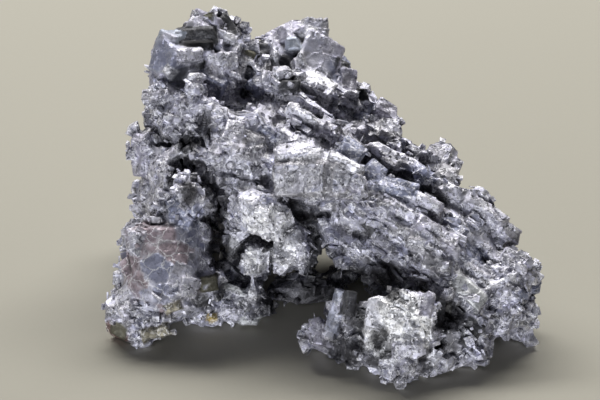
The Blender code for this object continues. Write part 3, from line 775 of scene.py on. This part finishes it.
def mesh_arrays(mesh):
    """A mesh's points and point normals as arrays, in mm."""
    points = np.empty(len(mesh.vertices) * 3)
    mesh.vertices.foreach_get("co", points)
    normals = np.empty(len(mesh.vertices) * 3)
    mesh.vertex_normals.foreach_get("vector", normals)
    return points.reshape(-1, 3) / MM, normals.reshape(-1, 3)


def neighbour_mean(mesh, values, rounds):
    """Values evened out over each point's neighbours, round after round."""
    ends = np.empty(len(mesh.edges) * 2, dtype=np.int32)
    mesh.edges.foreach_get("vertices", ends)
    a, b = ends.reshape(-1, 2).T
    count = np.bincount(a, minlength=len(values)) + np.bincount(b, minlength=len(values))
    columns = values.reshape(len(values), -1).copy()
    for _ in range(rounds):
        for k in range(columns.shape[1]):
            total = np.bincount(a, columns[b, k], len(values)) + np.bincount(b, columns[a, k], len(values))
            columns[:, k] = 0.5 * columns[:, k] + 0.5 * total / np.maximum(count, 1)
    return columns.reshape(values.shape)


def paint(mesh, colours):
    """Keeps a colour with each point of a mesh."""
    layer = mesh.color_attributes.new("tint", "FLOAT_COLOR", "POINT")
    layer.data.foreach_set("color", colours.ravel())


def modified(source, name, add):
    """A new mesh: source's, after the modifiers that add puts on a copy."""
    worker = new_piece(name, source)
    add(worker)
    graph = bpy.context.evaluated_depsgraph_get()
    made = bpy.data.meshes.new_from_object(worker.evaluated_get(graph))
    bpy.data.objects.remove(worker)
    if not made.polygons:
        raise RuntimeError(f"{name} came out empty")
    return made


def welded_stone():
    """A copy of the stone's solid with its doubled corners merged."""
    bm = bmesh.new()
    bm.from_mesh(bpy.data.objects[NODE].data)
    bmesh.ops.remove_doubles(bm, verts=bm.verts, dist=1e-6)
    bmesh.ops.recalc_face_normals(bm, faces=bm.faces)
    mesh = bpy.data.meshes.new("welded_stone")
    bm.to_mesh(mesh)
    bm.free()
    return mesh


def slab(stone, low, high):
    """The part of the stone between two places along x."""
    bm = bmesh.new()
    bmesh.ops.create_cube(bm, size=1.0)
    for v in bm.verts:
        v.co.x = (high if v.co.x > 0 else low) * MM
        v.co.y *= 0.4
        v.co.z *= 0.4
    box = bpy.data.meshes.new("slab_box")
    bm.to_mesh(box)
    bm.free()
    cutter = new_piece("slab_box", box)

    def cut(worker):
        modifier = worker.modifiers.new("slab", "BOOLEAN")
        modifier.operation = "INTERSECT"
        modifier.object = cutter
        modifier.solver = "EXACT"

    made = modified(stone, "slab", cut)
    bpy.data.objects.remove(cutter)
    return made


def skin_piece(name, stone, low, high, settings):
    """One piece of the skin: the slab's mesh with the named crystals that stand in it, made even and
    fine, and moved along its normals by the relief."""
    part = slab(stone, low, high)
    tones, centres, sides, axes = named_crystals()
    own = (centres[:, 0] > low) & (centres[:, 0] < high)
    rng = np.random.default_rng(SEED + 3)
    crystals, _ = crystal_mesh("named", centres[own], axes[own], sides[own], 0.6, 0.24, rng)
    bm = bmesh.new()
    bm.from_mesh(part)
    bm.from_mesh(crystals)
    bm.to_mesh(part)
    bm.free()

    def even(worker):
        modifier = worker.modifiers.new("even", "REMESH")
        modifier.mode = "VOXEL"
        modifier.voxel_size = settings.grain * 1.0

    mesh = modified(part, name, even)
    points, normals = mesh_arrays(mesh)
    smoothed = neighbour_mean(mesh, normals, 2)
    smoothed /= np.linalg.norm(smoothed, axis=1, keepdims=True)
    near_mean = neighbour_mean(mesh, points, HOLLOW_ROUNDS)
    cavity = ((near_mean - points) * smoothed).sum(axis=1)
    wide = ((neighbour_mean(mesh, near_mean, WIDE_ROUNDS) - points) * smoothed).sum(axis=1)
    tone, sure = on_crystals(points)
    moved, height = relief(points, smoothed, sure * (1.0 - 0.45 * tone[:, 3]), settings)
    moved[:, 2] = np.maximum(moved[:, 2], 0.0)
    mean = neighbour_mean(mesh, height, 6)
    mesh.vertices.foreach_set("co", (moved * MM).ravel())
    # Painted shade: darker in small and wide hollows, below the relief round it, and where the stone is
    # enclosed, less on the nodules
    shade_amount = np.maximum(np.maximum(1.6 * (mean - height) - 0.2, 1.8 * cavity - 0.2), 0.8 * wide - 0.35)
    shade_amount = np.maximum(shade_amount, enclosed(points, smoothed) * (1.0 - 0.8 * patches(points, NODULES, 0.3)))
    # Painted highlight where the relief stands above what is round it
    colour_of = tint(moved, shade_amount, 2.2 * (height - mean) - 0.35)
    # The named crystals' own tones give way to the painted shade
    sure = (sure * np.clip(1.0 - 0.6 * shade_amount, 0.0, 1.0))[:, None]
    paint(mesh, colour_of + (tone - colour_of) * sure)
    mesh.update()
    mesh.set_sharp_from_angle(angle=SHARP)
    mesh.name = name
    return new_piece(name, mesh)


def bevelled_cube():
    """A cube with bevelled edges and corners: each of its 24 points as the sign of every coordinate and
    the one coordinate in which it reaches the full half side, and its 26 faces as lists of point
    numbers."""
    signs, full = [], []
    for corner in itertools.product((-1.0, 1.0), repeat=3):
        for axis in range(3):
            signs.append(corner)
            full.append([k == axis for k in range(3)])
    signs, full = np.array(signs), np.array(full)
    shape = np.where(full, signs, 0.8 * signs)
    faces = []
    for way in itertools.product((-1, 0, 1), repeat=3):
        outward = np.array(way, dtype=float)
        if not outward.any():
            continue
        reach = shape @ outward
        ring = np.flatnonzero(reach > reach.max() - 1e-6)
        side = np.cross(outward, shape[ring[0]])
        side /= np.linalg.norm(side)
        other = np.cross(outward, side) / np.linalg.norm(outward)
        away = shape[ring] - shape[ring].mean(axis=0)
        faces.append(ring[np.argsort(np.arctan2(away @ other, away @ side))])
    return signs, full, faces


def crystal_mesh(name, centres, axes, sides, bevel, uneven, rng):
    """Many crystals in one mesh: each is a cube with or without bevelled edges, its points moved a
    little, times its half sides and turned by its axes. Also gives the points in mm."""
    if bevel > 0.0:
        signs, full, rings = bevelled_cube()
        shape = signs[None] * (sides[:, None, :] - np.where(full, 0.0, 1.0) * np.minimum(
            bevel, 0.35 * sides)[:, None, :])
    else:
        signs = np.array(list(itertools.product((-1.0, 1.0), repeat=3)))
        rings = [(0, 1, 3, 2), (4, 6, 7, 5), (0, 4, 5, 1), (2, 3, 7, 6), (0, 2, 6, 4), (1, 5, 7, 3)]
        shape = signs[None] * sides[:, None, :]
    number, many = len(centres), len(signs)
    slants = 1.0 + uneven * rng.uniform(-1.0, 1.0, (number, 8, 3))
    corner = ((signs > 0) @ np.array([4, 2, 1])).astype(int)
    shape = shape * slants[:, corner]
    points = (np.einsum("nkj,nji->nki", shape, axes) + centres[:, None, :]).reshape(-1, 3)
    points[:, 2] = np.maximum(points[:, 2], 0.02)
    ring = np.concatenate([np.asarray(r) for r in rings])
    sizes = np.array([len(r) for r in rings])
    loops = (ring[None] + many * np.arange(number)[:, None]).ravel()
    starts = (np.cumsum(sizes) - sizes)[None] + len(ring) * np.arange(number)[:, None]
    mesh = bpy.data.meshes.new(name)
    mesh.vertices.add(len(points))
    mesh.vertices.foreach_set("co", (points * MM).ravel())
    mesh.loops.add(len(loops))
    mesh.loops.foreach_set("vertex_index", loops)
    mesh.polygons.add(number * len(rings))
    mesh.polygons.foreach_set("loop_start", starts.ravel())
    mesh.update(calc_edges=True)
    mesh.validate()
    mesh.shade_flat()
    return mesh, points


def surface_points(count, rng):
    """Random places spread evenly over the stone's solid, with their normals, in mm."""
    mesh = bpy.data.objects[NODE].data
    mesh.calc_loop_triangles()
    corners = np.empty(len(mesh.loop_triangles) * 3, dtype=np.int32)
    mesh.loop_triangles.foreach_get("vertices", corners)
    points = np.empty(len(mesh.vertices) * 3)
    mesh.vertices.foreach_get("co", points)
    a, b, c = points.reshape(-1, 3)[corners.reshape(-1, 3)].transpose(1, 0, 2) / MM
    normal = np.cross(b - a, c - a)
    area = np.linalg.norm(normal, axis=1)
    picked = rng.choice(len(area), size=count, p=area / area.sum())
    u, v = rng.uniform(0.0, 1.0, (2, count))
    u, v = np.where(u + v > 1.0, 1.0 - u, u), np.where(u + v > 1.0, 1.0 - v, v)
    a, b, c = a[picked], b[picked], c[picked]
    return a + (b - a) * u[:, None] + (c - a) * v[:, None], normal[picked] / area[picked][:, None]


@functools.lru_cache(maxsize=1)
def crowding():
    """How much of the stone's surface lies round each place, as a grid of 1 mm cells: places spread
    evenly over the surface are counted in each cell and evened out twice along every axis. Gives the grid
    and its corner."""
    points, _ = surface_points(CROWD_COUNT, np.random.default_rng(SEED + 4))
    corner = points.min(axis=0) - CROWD_MARGIN
    shape = np.ceil(points.max(axis=0) + CROWD_MARGIN - corner).astype(int)
    flat = np.ravel_multi_index((points - corner).astype(int).T, shape)
    grid = np.bincount(flat, minlength=np.prod(shape)).reshape(shape).astype(float)
    for axis in (0, 1, 2) * 2:
        total = np.cumsum(grid, axis=axis)
        grid = (np.roll(total, -4, axis=axis) - np.roll(total, 4, axis=axis)) / 8.0
    return np.clip(grid, 0.0, None), corner


def enclosed(points, normals):
    """How enclosed each point is, from 0 on open faces to 1: the crowding a little way out along its
    normal, over what is usual."""
    grid, corner = crowding()
    cell = (points + normals * CROWD_REACH - corner).astype(int)
    cell = np.clip(cell, 0, np.array(grid.shape) - 1)
    crowd = grid[tuple(cell.T)]
    return np.clip(crowd / np.median(crowd) - CROWD_OPEN, 0.0, 1.0)


# Materials

class Wire:
    """A node socket that can be used in Python expressions: each operator adds a Math node."""

    def __init__(self, tree, socket):
        self.tree = tree
        self.socket = socket

    def node(self, kind, settings=None, **sockets):
        """Adds a node: its settings first, then the values or links of its sockets, named with _ for a
        space."""
        made = self.tree.nodes.new(kind)
        for key, value in (settings or {}).items():
            setattr(made, key, value)
        for key, value in sockets.items():
            name = key.replace("_", " ")
            target = made.inputs[int(name[1:])] if name[1:].isdigit() else made.inputs[name]
            if isinstance(value, Wire):
                self.tree.links.new(value.socket, target)
            else:
                target.default_value = value
        return made

    def out(self, kind, output, settings=None, **sockets):
        """The named output of a new node."""
        return Wire(self.tree, self.node(kind, settings, **sockets).outputs[output])

    def math(self, operation, other=0.0, clamp=False):
        """One Math node on this value and another."""
        return self.out("ShaderNodeMath", 0, {"operation": operation, "use_clamp": clamp}, i0=self, i1=other)

    def __add__(self, other):
        return self.math("ADD", other)

    __radd__ = __add__

    def __mul__(self, other):
        return self.math("MULTIPLY", other)

    __rmul__ = __mul__

    def __sub__(self, other):
        return self.math("SUBTRACT", other)

    def __rsub__(self, other):
        return self.math("MULTIPLY", -1.0) + other

    def clamp(self):
        """The value kept from 0 to 1."""
        return self.math("ADD", 0.0, clamp=True)

    def vector(self, operation, other, output=0):
        """One Vector Math node on this vector and another, or a scale."""
        key = "Scale" if operation == "SCALE" else "i1"
        return self.out("ShaderNodeVectorMath", output, {"operation": operation}, **{"i0": self, key: other})


def colour(values):
    """A colour with full alpha."""
    return (*values, 1.0)


def mixed(wire, factor, a, b):
    """A mix of two colours."""
    a, b = (v if isinstance(v, Wire) else colour(v) for v in (a, b))
    return wire.out("ShaderNodeMix", 2, {"data_type": "RGBA"}, i0=factor, i6=a, i7=b)


def new_material(name):
    """An empty material: (material, its shader, a wire of Object coordinates in mm)."""
    made = bpy.data.materials.new(name)
    made.use_nodes = True
    tree = made.node_tree
    shader = tree.nodes["Principled BSDF"]
    place = Wire(tree, tree.nodes.new("ShaderNodeTexCoord").outputs["Object"])
    return made, shader, place.vector("SCALE", 1.0 / MM)


def facet_normal(place, scales_and_tilts, share):
    """The surface's normal, tilted another way in each small cell, as flat faces of tiny crystals are,
    and less so where share is small."""
    tree = place.tree
    normal = Wire(tree, tree.nodes.new("ShaderNodeNewGeometry").outputs["Normal"])
    for scale, tilt in scales_and_tilts:
        cell = place.out("ShaderNodeTexVoronoi", "Color", {"feature": "F1"}, Vector=place, Scale=scale)
        way = cell.vector("SUBTRACT", (0.5, 0.5, 0.5)).vector("SCALE", share * tilt)
        normal = normal.vector("ADD", way)
    return normal.vector("NORMALIZE", (0.0, 0.0, 0.0))


def galena_material():
    """Lead-grey metal of the tint painted on the mesh, whose alpha says how rough the surface is. Each tiny
    cell has its own tilt and shade, folds have thin rims of painted highlight, the left face's panels have
    crisp ones, and cracks and pits have painted shade."""
    made, shader, place = new_material("galena_metal")
    tree = place.tree
    tint_node = tree.nodes.new("ShaderNodeAttribute")
    tint_node.attribute_name = "tint"
    metal, rough_share = Wire(tree, tint_node.outputs["Color"]), Wire(tree, tint_node.outputs["Alpha"])
    lit = (metal.vector("DOT_PRODUCT", (0.33, 0.33, 0.33), 1) * 4.0 - 0.25).clamp()
    warp = place.out("ShaderNodeTexNoise", "Color", Vector=place, Scale=0.6, Detail=2.0)
    bent = place.vector("ADD", warp.vector("SCALE", 1.3))
    shade = bent.out("ShaderNodeTexVoronoi", "Color", Vector=bent, Scale=0.55)
    shade_parts = shade.node("ShaderNodeSeparateColor", None, i0=shade)
    first, second = (Wire(tree, shade_parts.outputs[k]) for k in (0, 1))
    grain = place.out("ShaderNodeTexNoise", 0, Vector=place, Scale=1.0, Detail=4.0, Roughness=0.65)
    fine = bent.out("ShaderNodeTexVoronoi", "Color", Vector=bent, Scale=1.2)
    fine_part = Wire(tree, fine.node("ShaderNodeSeparateColor", None, i0=fine).outputs[0])
    metal = metal.vector("SCALE", (first * 0.55 + fine_part * 0.25 + grain * 0.7 - 0.72) * rough_share + 1.0)
    fold = place.out("ShaderNodeTexNoise", 0, Vector=bent, Scale=0.42, Detail=3.0, Roughness=0.6)
    on_panels = (1.0 - (rough_share - 0.5).math("ABSOLUTE") * 8.0).clamp()
    near_fold = (1.0 - (fold - 0.5).math("ABSOLUTE") * 24.0).clamp()
    # Painted highlight: thin near-white rims along the folds, only on light metal
    rim = (1.0 - on_panels) * near_fold * ((grain - 0.32) * 5.0).clamp()
    metal = mixed(place, rim * lit * rough_share * 0.9, metal, RIM_HIGHLIGHT)
    jag = place.out("ShaderNodeTexNoise", "Color", Vector=place, Scale=0.8, Detail=3.0, Roughness=0.7)
    jagged = place.vector("ADD", jag.vector("SCALE", 1.8))
    to_edge = {"feature": "DISTANCE_TO_EDGE"}
    # Painted highlight: near-white jagged rims round the left face's panels, only on light metal
    gap = jagged.out("ShaderNodeTexVoronoi", "Distance", to_edge, Vector=jagged, Scale=0.21)
    metal = mixed(place, (1.0 - gap * 30.0).clamp() * on_panels * lit * 0.85, metal, RIM_HIGHLIGHT)
    # Painted shade: near black in the creases along the folds and in small pits
    shade_side = (1.0 - (fold - 0.45).math("ABSOLUTE") * 26.0).clamp() * ((second - 0.3) * 3.0).clamp()
    pits = ((0.42 - grain) * 14.0).clamp()
    metal = mixed(place, (shade_side * 0.7 + pits * 0.7).clamp() * rough_share, metal, CRACK_SHADE)
    tree.links.new(metal.socket, shader.inputs["Base Color"])
    rough = second * 0.2 + grain * 0.2 + 0.42
    tree.links.new(rough.socket, shader.inputs["Roughness"])
    shader.inputs["Metallic"].default_value = 0.7
    tilted = facet_normal(bent, ((0.33, 0.36), (0.8, 0.24)), rough_share)
    height = (grain * 0.6 + ((fold - 0.44) * 9.0).clamp()) * rough_share
    bump = place.node("ShaderNodeBump", None, Height=height, Strength=0.3, Distance=0.0004, Normal=tilted)
    tree.links.new(bump.outputs[0], shader.inputs["Normal"])
    return made


def ground_material(colours):
    """Plain pale ground with a faint even grain."""
    made, shader, place = new_material("ground")
    tree = place.tree
    grain = place.out("ShaderNodeTexNoise", 0, Vector=place, Scale=0.8, Detail=4.0, Roughness=0.7)
    broad = place.out("ShaderNodeTexNoise", 0, Vector=place, Scale=0.01, Detail=1.0)
    tint = mixed(place, (grain * 0.5 + broad * 0.3).clamp(),
                 [c * 0.95 for c in colours.ground], [c * 1.03 for c in colours.ground])
    tree.links.new(tint.socket, shader.inputs["Base Color"])
    shader.inputs["Roughness"].default_value = 0.9
    shader.inputs["Specular IOR Level"].default_value = 0.1
    return made


# Operators

def dress(piece, material):
    """Gives a piece its material and body."""
    piece.data.materials.clear()
    piece.data.materials.append(material)
    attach(piece, "root")
    return piece


def shared_material():
    """The stone's one material, made when it is first asked for."""
    known = bpy.data.materials.get("galena_metal")
    return known or galena_material()


class GALENA_OT_skin(bpy.types.Operator):
    """Make the rough skin of the stone, in pieces from left to right"""

    bl_idname = "galena.skin"
    bl_label = "Skin"

    def execute(self, context):
        settings = context.scene.galena_stone
        stone = welded_stone()
        edges = (-200.0, *CUTS, 200.0)
        for index, (low, high) in enumerate(zip(edges[:-1], edges[1:])):
            piece = skin_piece(f"stone_skin_{index + 1}", stone, low - OVERLAP, high + OVERLAP, settings)
            dress(piece, shared_material())
            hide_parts(NODE)
        return {"FINISHED"}


def scatter(count, rng, least, avoid):
    """Random places on the stone, most of them where small crystals are and a share, least, elsewhere,
    fewer on the worms and none on smooth faces: points, normals and weights of the worms."""
    points, normals = surface_points(count, rng)
    plain, worm = smooth_faces(points, normals), wormy(points)
    chance = (least + (1.0 - least) * small_crystals(points)) * (1.0 - avoid * worm) * (1.0 - plain)
    keep = (rng.uniform(0, 1, len(points)) < chance) & (points[:, 2] > 1.0)
    return points[keep], normals[keep], worm[keep]


def slope_or_domain_axes(points, spread, rng, salt):
    """Axes for crystals: along the slope on the slope, and elsewhere shared by those that lie close
    together."""
    owner, _, _ = cells(points / 9.0, salt)
    on_slope = slope(points) > 0.4
    angles = np.where(on_slope[:, None], 0.0, hashed_vector(owner, salt + 5) * 1.5)
    axes = rotations(angles + rng.normal(0.0, spread, points.shape))
    return np.where(on_slope[:, None, None], axes @ SLOPE_AXES, axes), on_slope


def strewn_piece(name, points, normals, centres, axes, sides, bevel, uneven, rng):
    """A piece of crystals that stand on the given points: each is lighter by its own random share, and has
    painted shade where it is enclosed."""
    mesh, corners = crystal_mesh(name, centres, axes, sides, bevel, uneven, rng)
    many = len(corners) // len(points)
    # Painted shade where the crystal is enclosed
    shade_amount = np.repeat(enclosed(points, normals), many)
    paint(mesh, tint(corners, shade_amount, 0.3 * np.repeat(rng.uniform(0, 1, len(points)), many)))
    return dress(new_piece(name, mesh), shared_material())


class GALENA_OT_blocks(bpy.types.Operator):
    """Make the larger flat-faced crystals that stand out of the slopes"""

    bl_idname = "galena.blocks"
    bl_label = "Blocks"

    def execute(self, context):
        rng = np.random.default_rng(SEED + 2)
        points, normals, _ = scatter(context.scene.galena_stone.block_count, rng, 0.35, 0.85)
        half = 0.8 + 1.0 * rng.uniform(0, 1, len(points)) ** 1.6
        axes, on_slope = slope_or_domain_axes(points, 0.16, rng, 840)
        stretch = np.where(on_slope[:, None], (1.5, 0.85, 0.7), (1.0, 1.0, 1.0))
        sides = half[:, None] * stretch * rng.uniform(0.75, 1.25, (len(points), 3))
        centres = points - normals * (0.7 * half)[:, None]
        strewn_piece("block_crystals", points, normals, centres, axes, sides, 0.35, 0.14, rng)
        return {"FINISHED"}


class GALENA_OT_crust(bpy.types.Operator):
    """Make the crust of small cube-shaped crystals"""

    bl_idname = "galena.crust"
    bl_label = "Crust"

    def execute(self, context):
        rng = np.random.default_rng(SEED)
        points, normals, worm = scatter(context.scene.galena_stone.crust_count, rng, 0.12, 0.8)
        half = (0.35 + 0.75 * rng.uniform(0, 1, len(points)) ** 2.0) * (1.0 - 0.3 * worm)
        sides = half[:, None] * rng.uniform(0.7, 1.25, (len(points), 3))
        axes, _ = slope_or_domain_axes(points, 0.2, rng, 800)
        centres = points + normals * (0.05 - 0.2 * half)[:, None]
        strewn_piece("crust_crystals", points, normals, centres, axes, sides, 0.0, 0.18, rng)
        return {"FINISHED"}


class GALENA_OT_chips(bpy.types.Operator):
    """Make the chips and splinters that lie along the slopes"""

    bl_idname = "galena.chips"
    bl_label = "Chips"

    def execute(self, context):
        rng = np.random.default_rng(SEED + 1)
        points, normals, _ = scatter(context.scene.galena_stone.chip_count, rng, 0.5, 0.7)
        half = 0.35 + 0.75 * rng.uniform(0, 1, len(points)) ** 2
        sides = half[:, None] * np.array([1.9, 0.8, 0.35]) * rng.uniform(0.7, 1.3, (len(points), 3))
        along = DOWN_SLOPE + rng.normal(0.0, 0.3, points.shape)
        along -= normals * (along * normals).sum(axis=1, keepdims=True)
        along /= np.linalg.norm(along, axis=1, keepdims=True)
        up = normals + rng.normal(0.0, 0.4, points.shape)
        across = np.cross(up, along)
        across /= np.linalg.norm(across, axis=1, keepdims=True)
        axes = np.stack([along, across, np.cross(along, across)], axis=1)
        centres = points + normals * 0.1
        strewn_piece("chips", points, normals, centres, axes, sides, 0.0, 0.2, rng)
        return {"FINISHED"}


def area_light(name, target, power, place, size, tint):
    """A soft light of the given size at place, facing target, in metres."""
    light = bpy.data.lights.new(name, "AREA")
    light.shape = "RECTANGLE"
    light.size, light.size_y = size
    light.energy = power
    light.color = tint
    lamp = new_piece(name, light)
    lamp.location = place
    lamp.rotation_euler = (Vector(target) - Vector(place)).to_track_quat("-Z", "Y").to_euler()
    return lamp


class GALENA_OT_stage(bpy.types.Operator):
    """Make the ground, the light and the camera"""

    bl_idname = "galena.stage"
    bl_label = "Stage"

    def execute(self, context):
        scene = context.scene
        settings, colours = scene.galena_stage, scene.galena_colours
        bpy.ops.mesh.primitive_plane_add(size=6.0)
        floor = context.object
        floor.name = "ground"
        floor.data.materials.append(ground_material(colours))
        target = Vector(np.array(TARGET) + SHIFT) * MM
        camera = new_piece("camera", bpy.data.cameras.new("camera"))
        camera.data.lens = settings.lens
        camera.data.sensor_width = SENSOR
        camera.data.clip_start = 0.01
        away = Vector((0.0, -math.cos(settings.elevation), math.sin(settings.elevation)))
        camera.location = target + away * settings.distance
        camera.rotation_euler = (math.pi / 2 - settings.elevation, 0.0, 0.0)
        scene.camera = camera
        area_light("key", target, settings.key_power, *KEY_LIGHT)
        area_light("front", target, settings.front_power, *FRONT_LIGHT)
        world = bpy.data.worlds.new("studio")
        world.use_nodes = True
        background = world.node_tree.nodes["Background"]
        background.inputs["Color"].default_value = FILL_COLOUR
        background.inputs["Strength"].default_value = settings.fill
        scene.world = world
        scene.view_settings.view_transform = "Standard"
        return {"FINISHED"}


class GALENA_PT_panel(bpy.types.Panel):
    """Lists the steps and the settings"""

    bl_label = "Galena specimen"
    bl_idname = "GALENA_PT_panel"
    bl_space_type = "VIEW_3D"
    bl_region_type = "UI"
    bl_category = "Galena"

    def draw(self, context):
        for step in STEPS:
            self.layout.operator(step.bl_idname)
        for name, group in GROUPS:
            settings = getattr(context.scene, name)
            self.layout.label(text=group.__doc__)
            for key in group.__annotations__:
                self.layout.prop(settings, key)


STEPS = (GALENA_OT_skin, GALENA_OT_blocks, GALENA_OT_crust, GALENA_OT_chips, GALENA_OT_stage)
GROUPS = (
    ("galena_stone", StoneSettings),
    ("galena_colours", ColourSettings),
    ("galena_stage", StageSettings),
)


def register():
    for _, group in GROUPS:
        bpy.utils.register_class(group)
    for step in (*STEPS, GALENA_PT_panel):
        bpy.utils.register_class(step)
    for name, group in GROUPS:
        setattr(bpy.types.Scene, name, PointerProperty(type=group))


def unregister():
    for name, _ in GROUPS:
        delattr(bpy.types.Scene, name)
    for step in reversed((*STEPS, GALENA_PT_panel)):
        bpy.utils.unregister_class(step)
    for _, group in reversed(GROUPS):
        bpy.utils.unregister_class(group)


def main():
    """Makes every piece in turn, then the stage."""
    register()
    bpy.ops.galena.skin()
    bpy.ops.galena.blocks()
    bpy.ops.galena.crust()
    bpy.ops.galena.chips()
    bpy.ops.galena.stage()


if __name__ == "__main__":
    main()
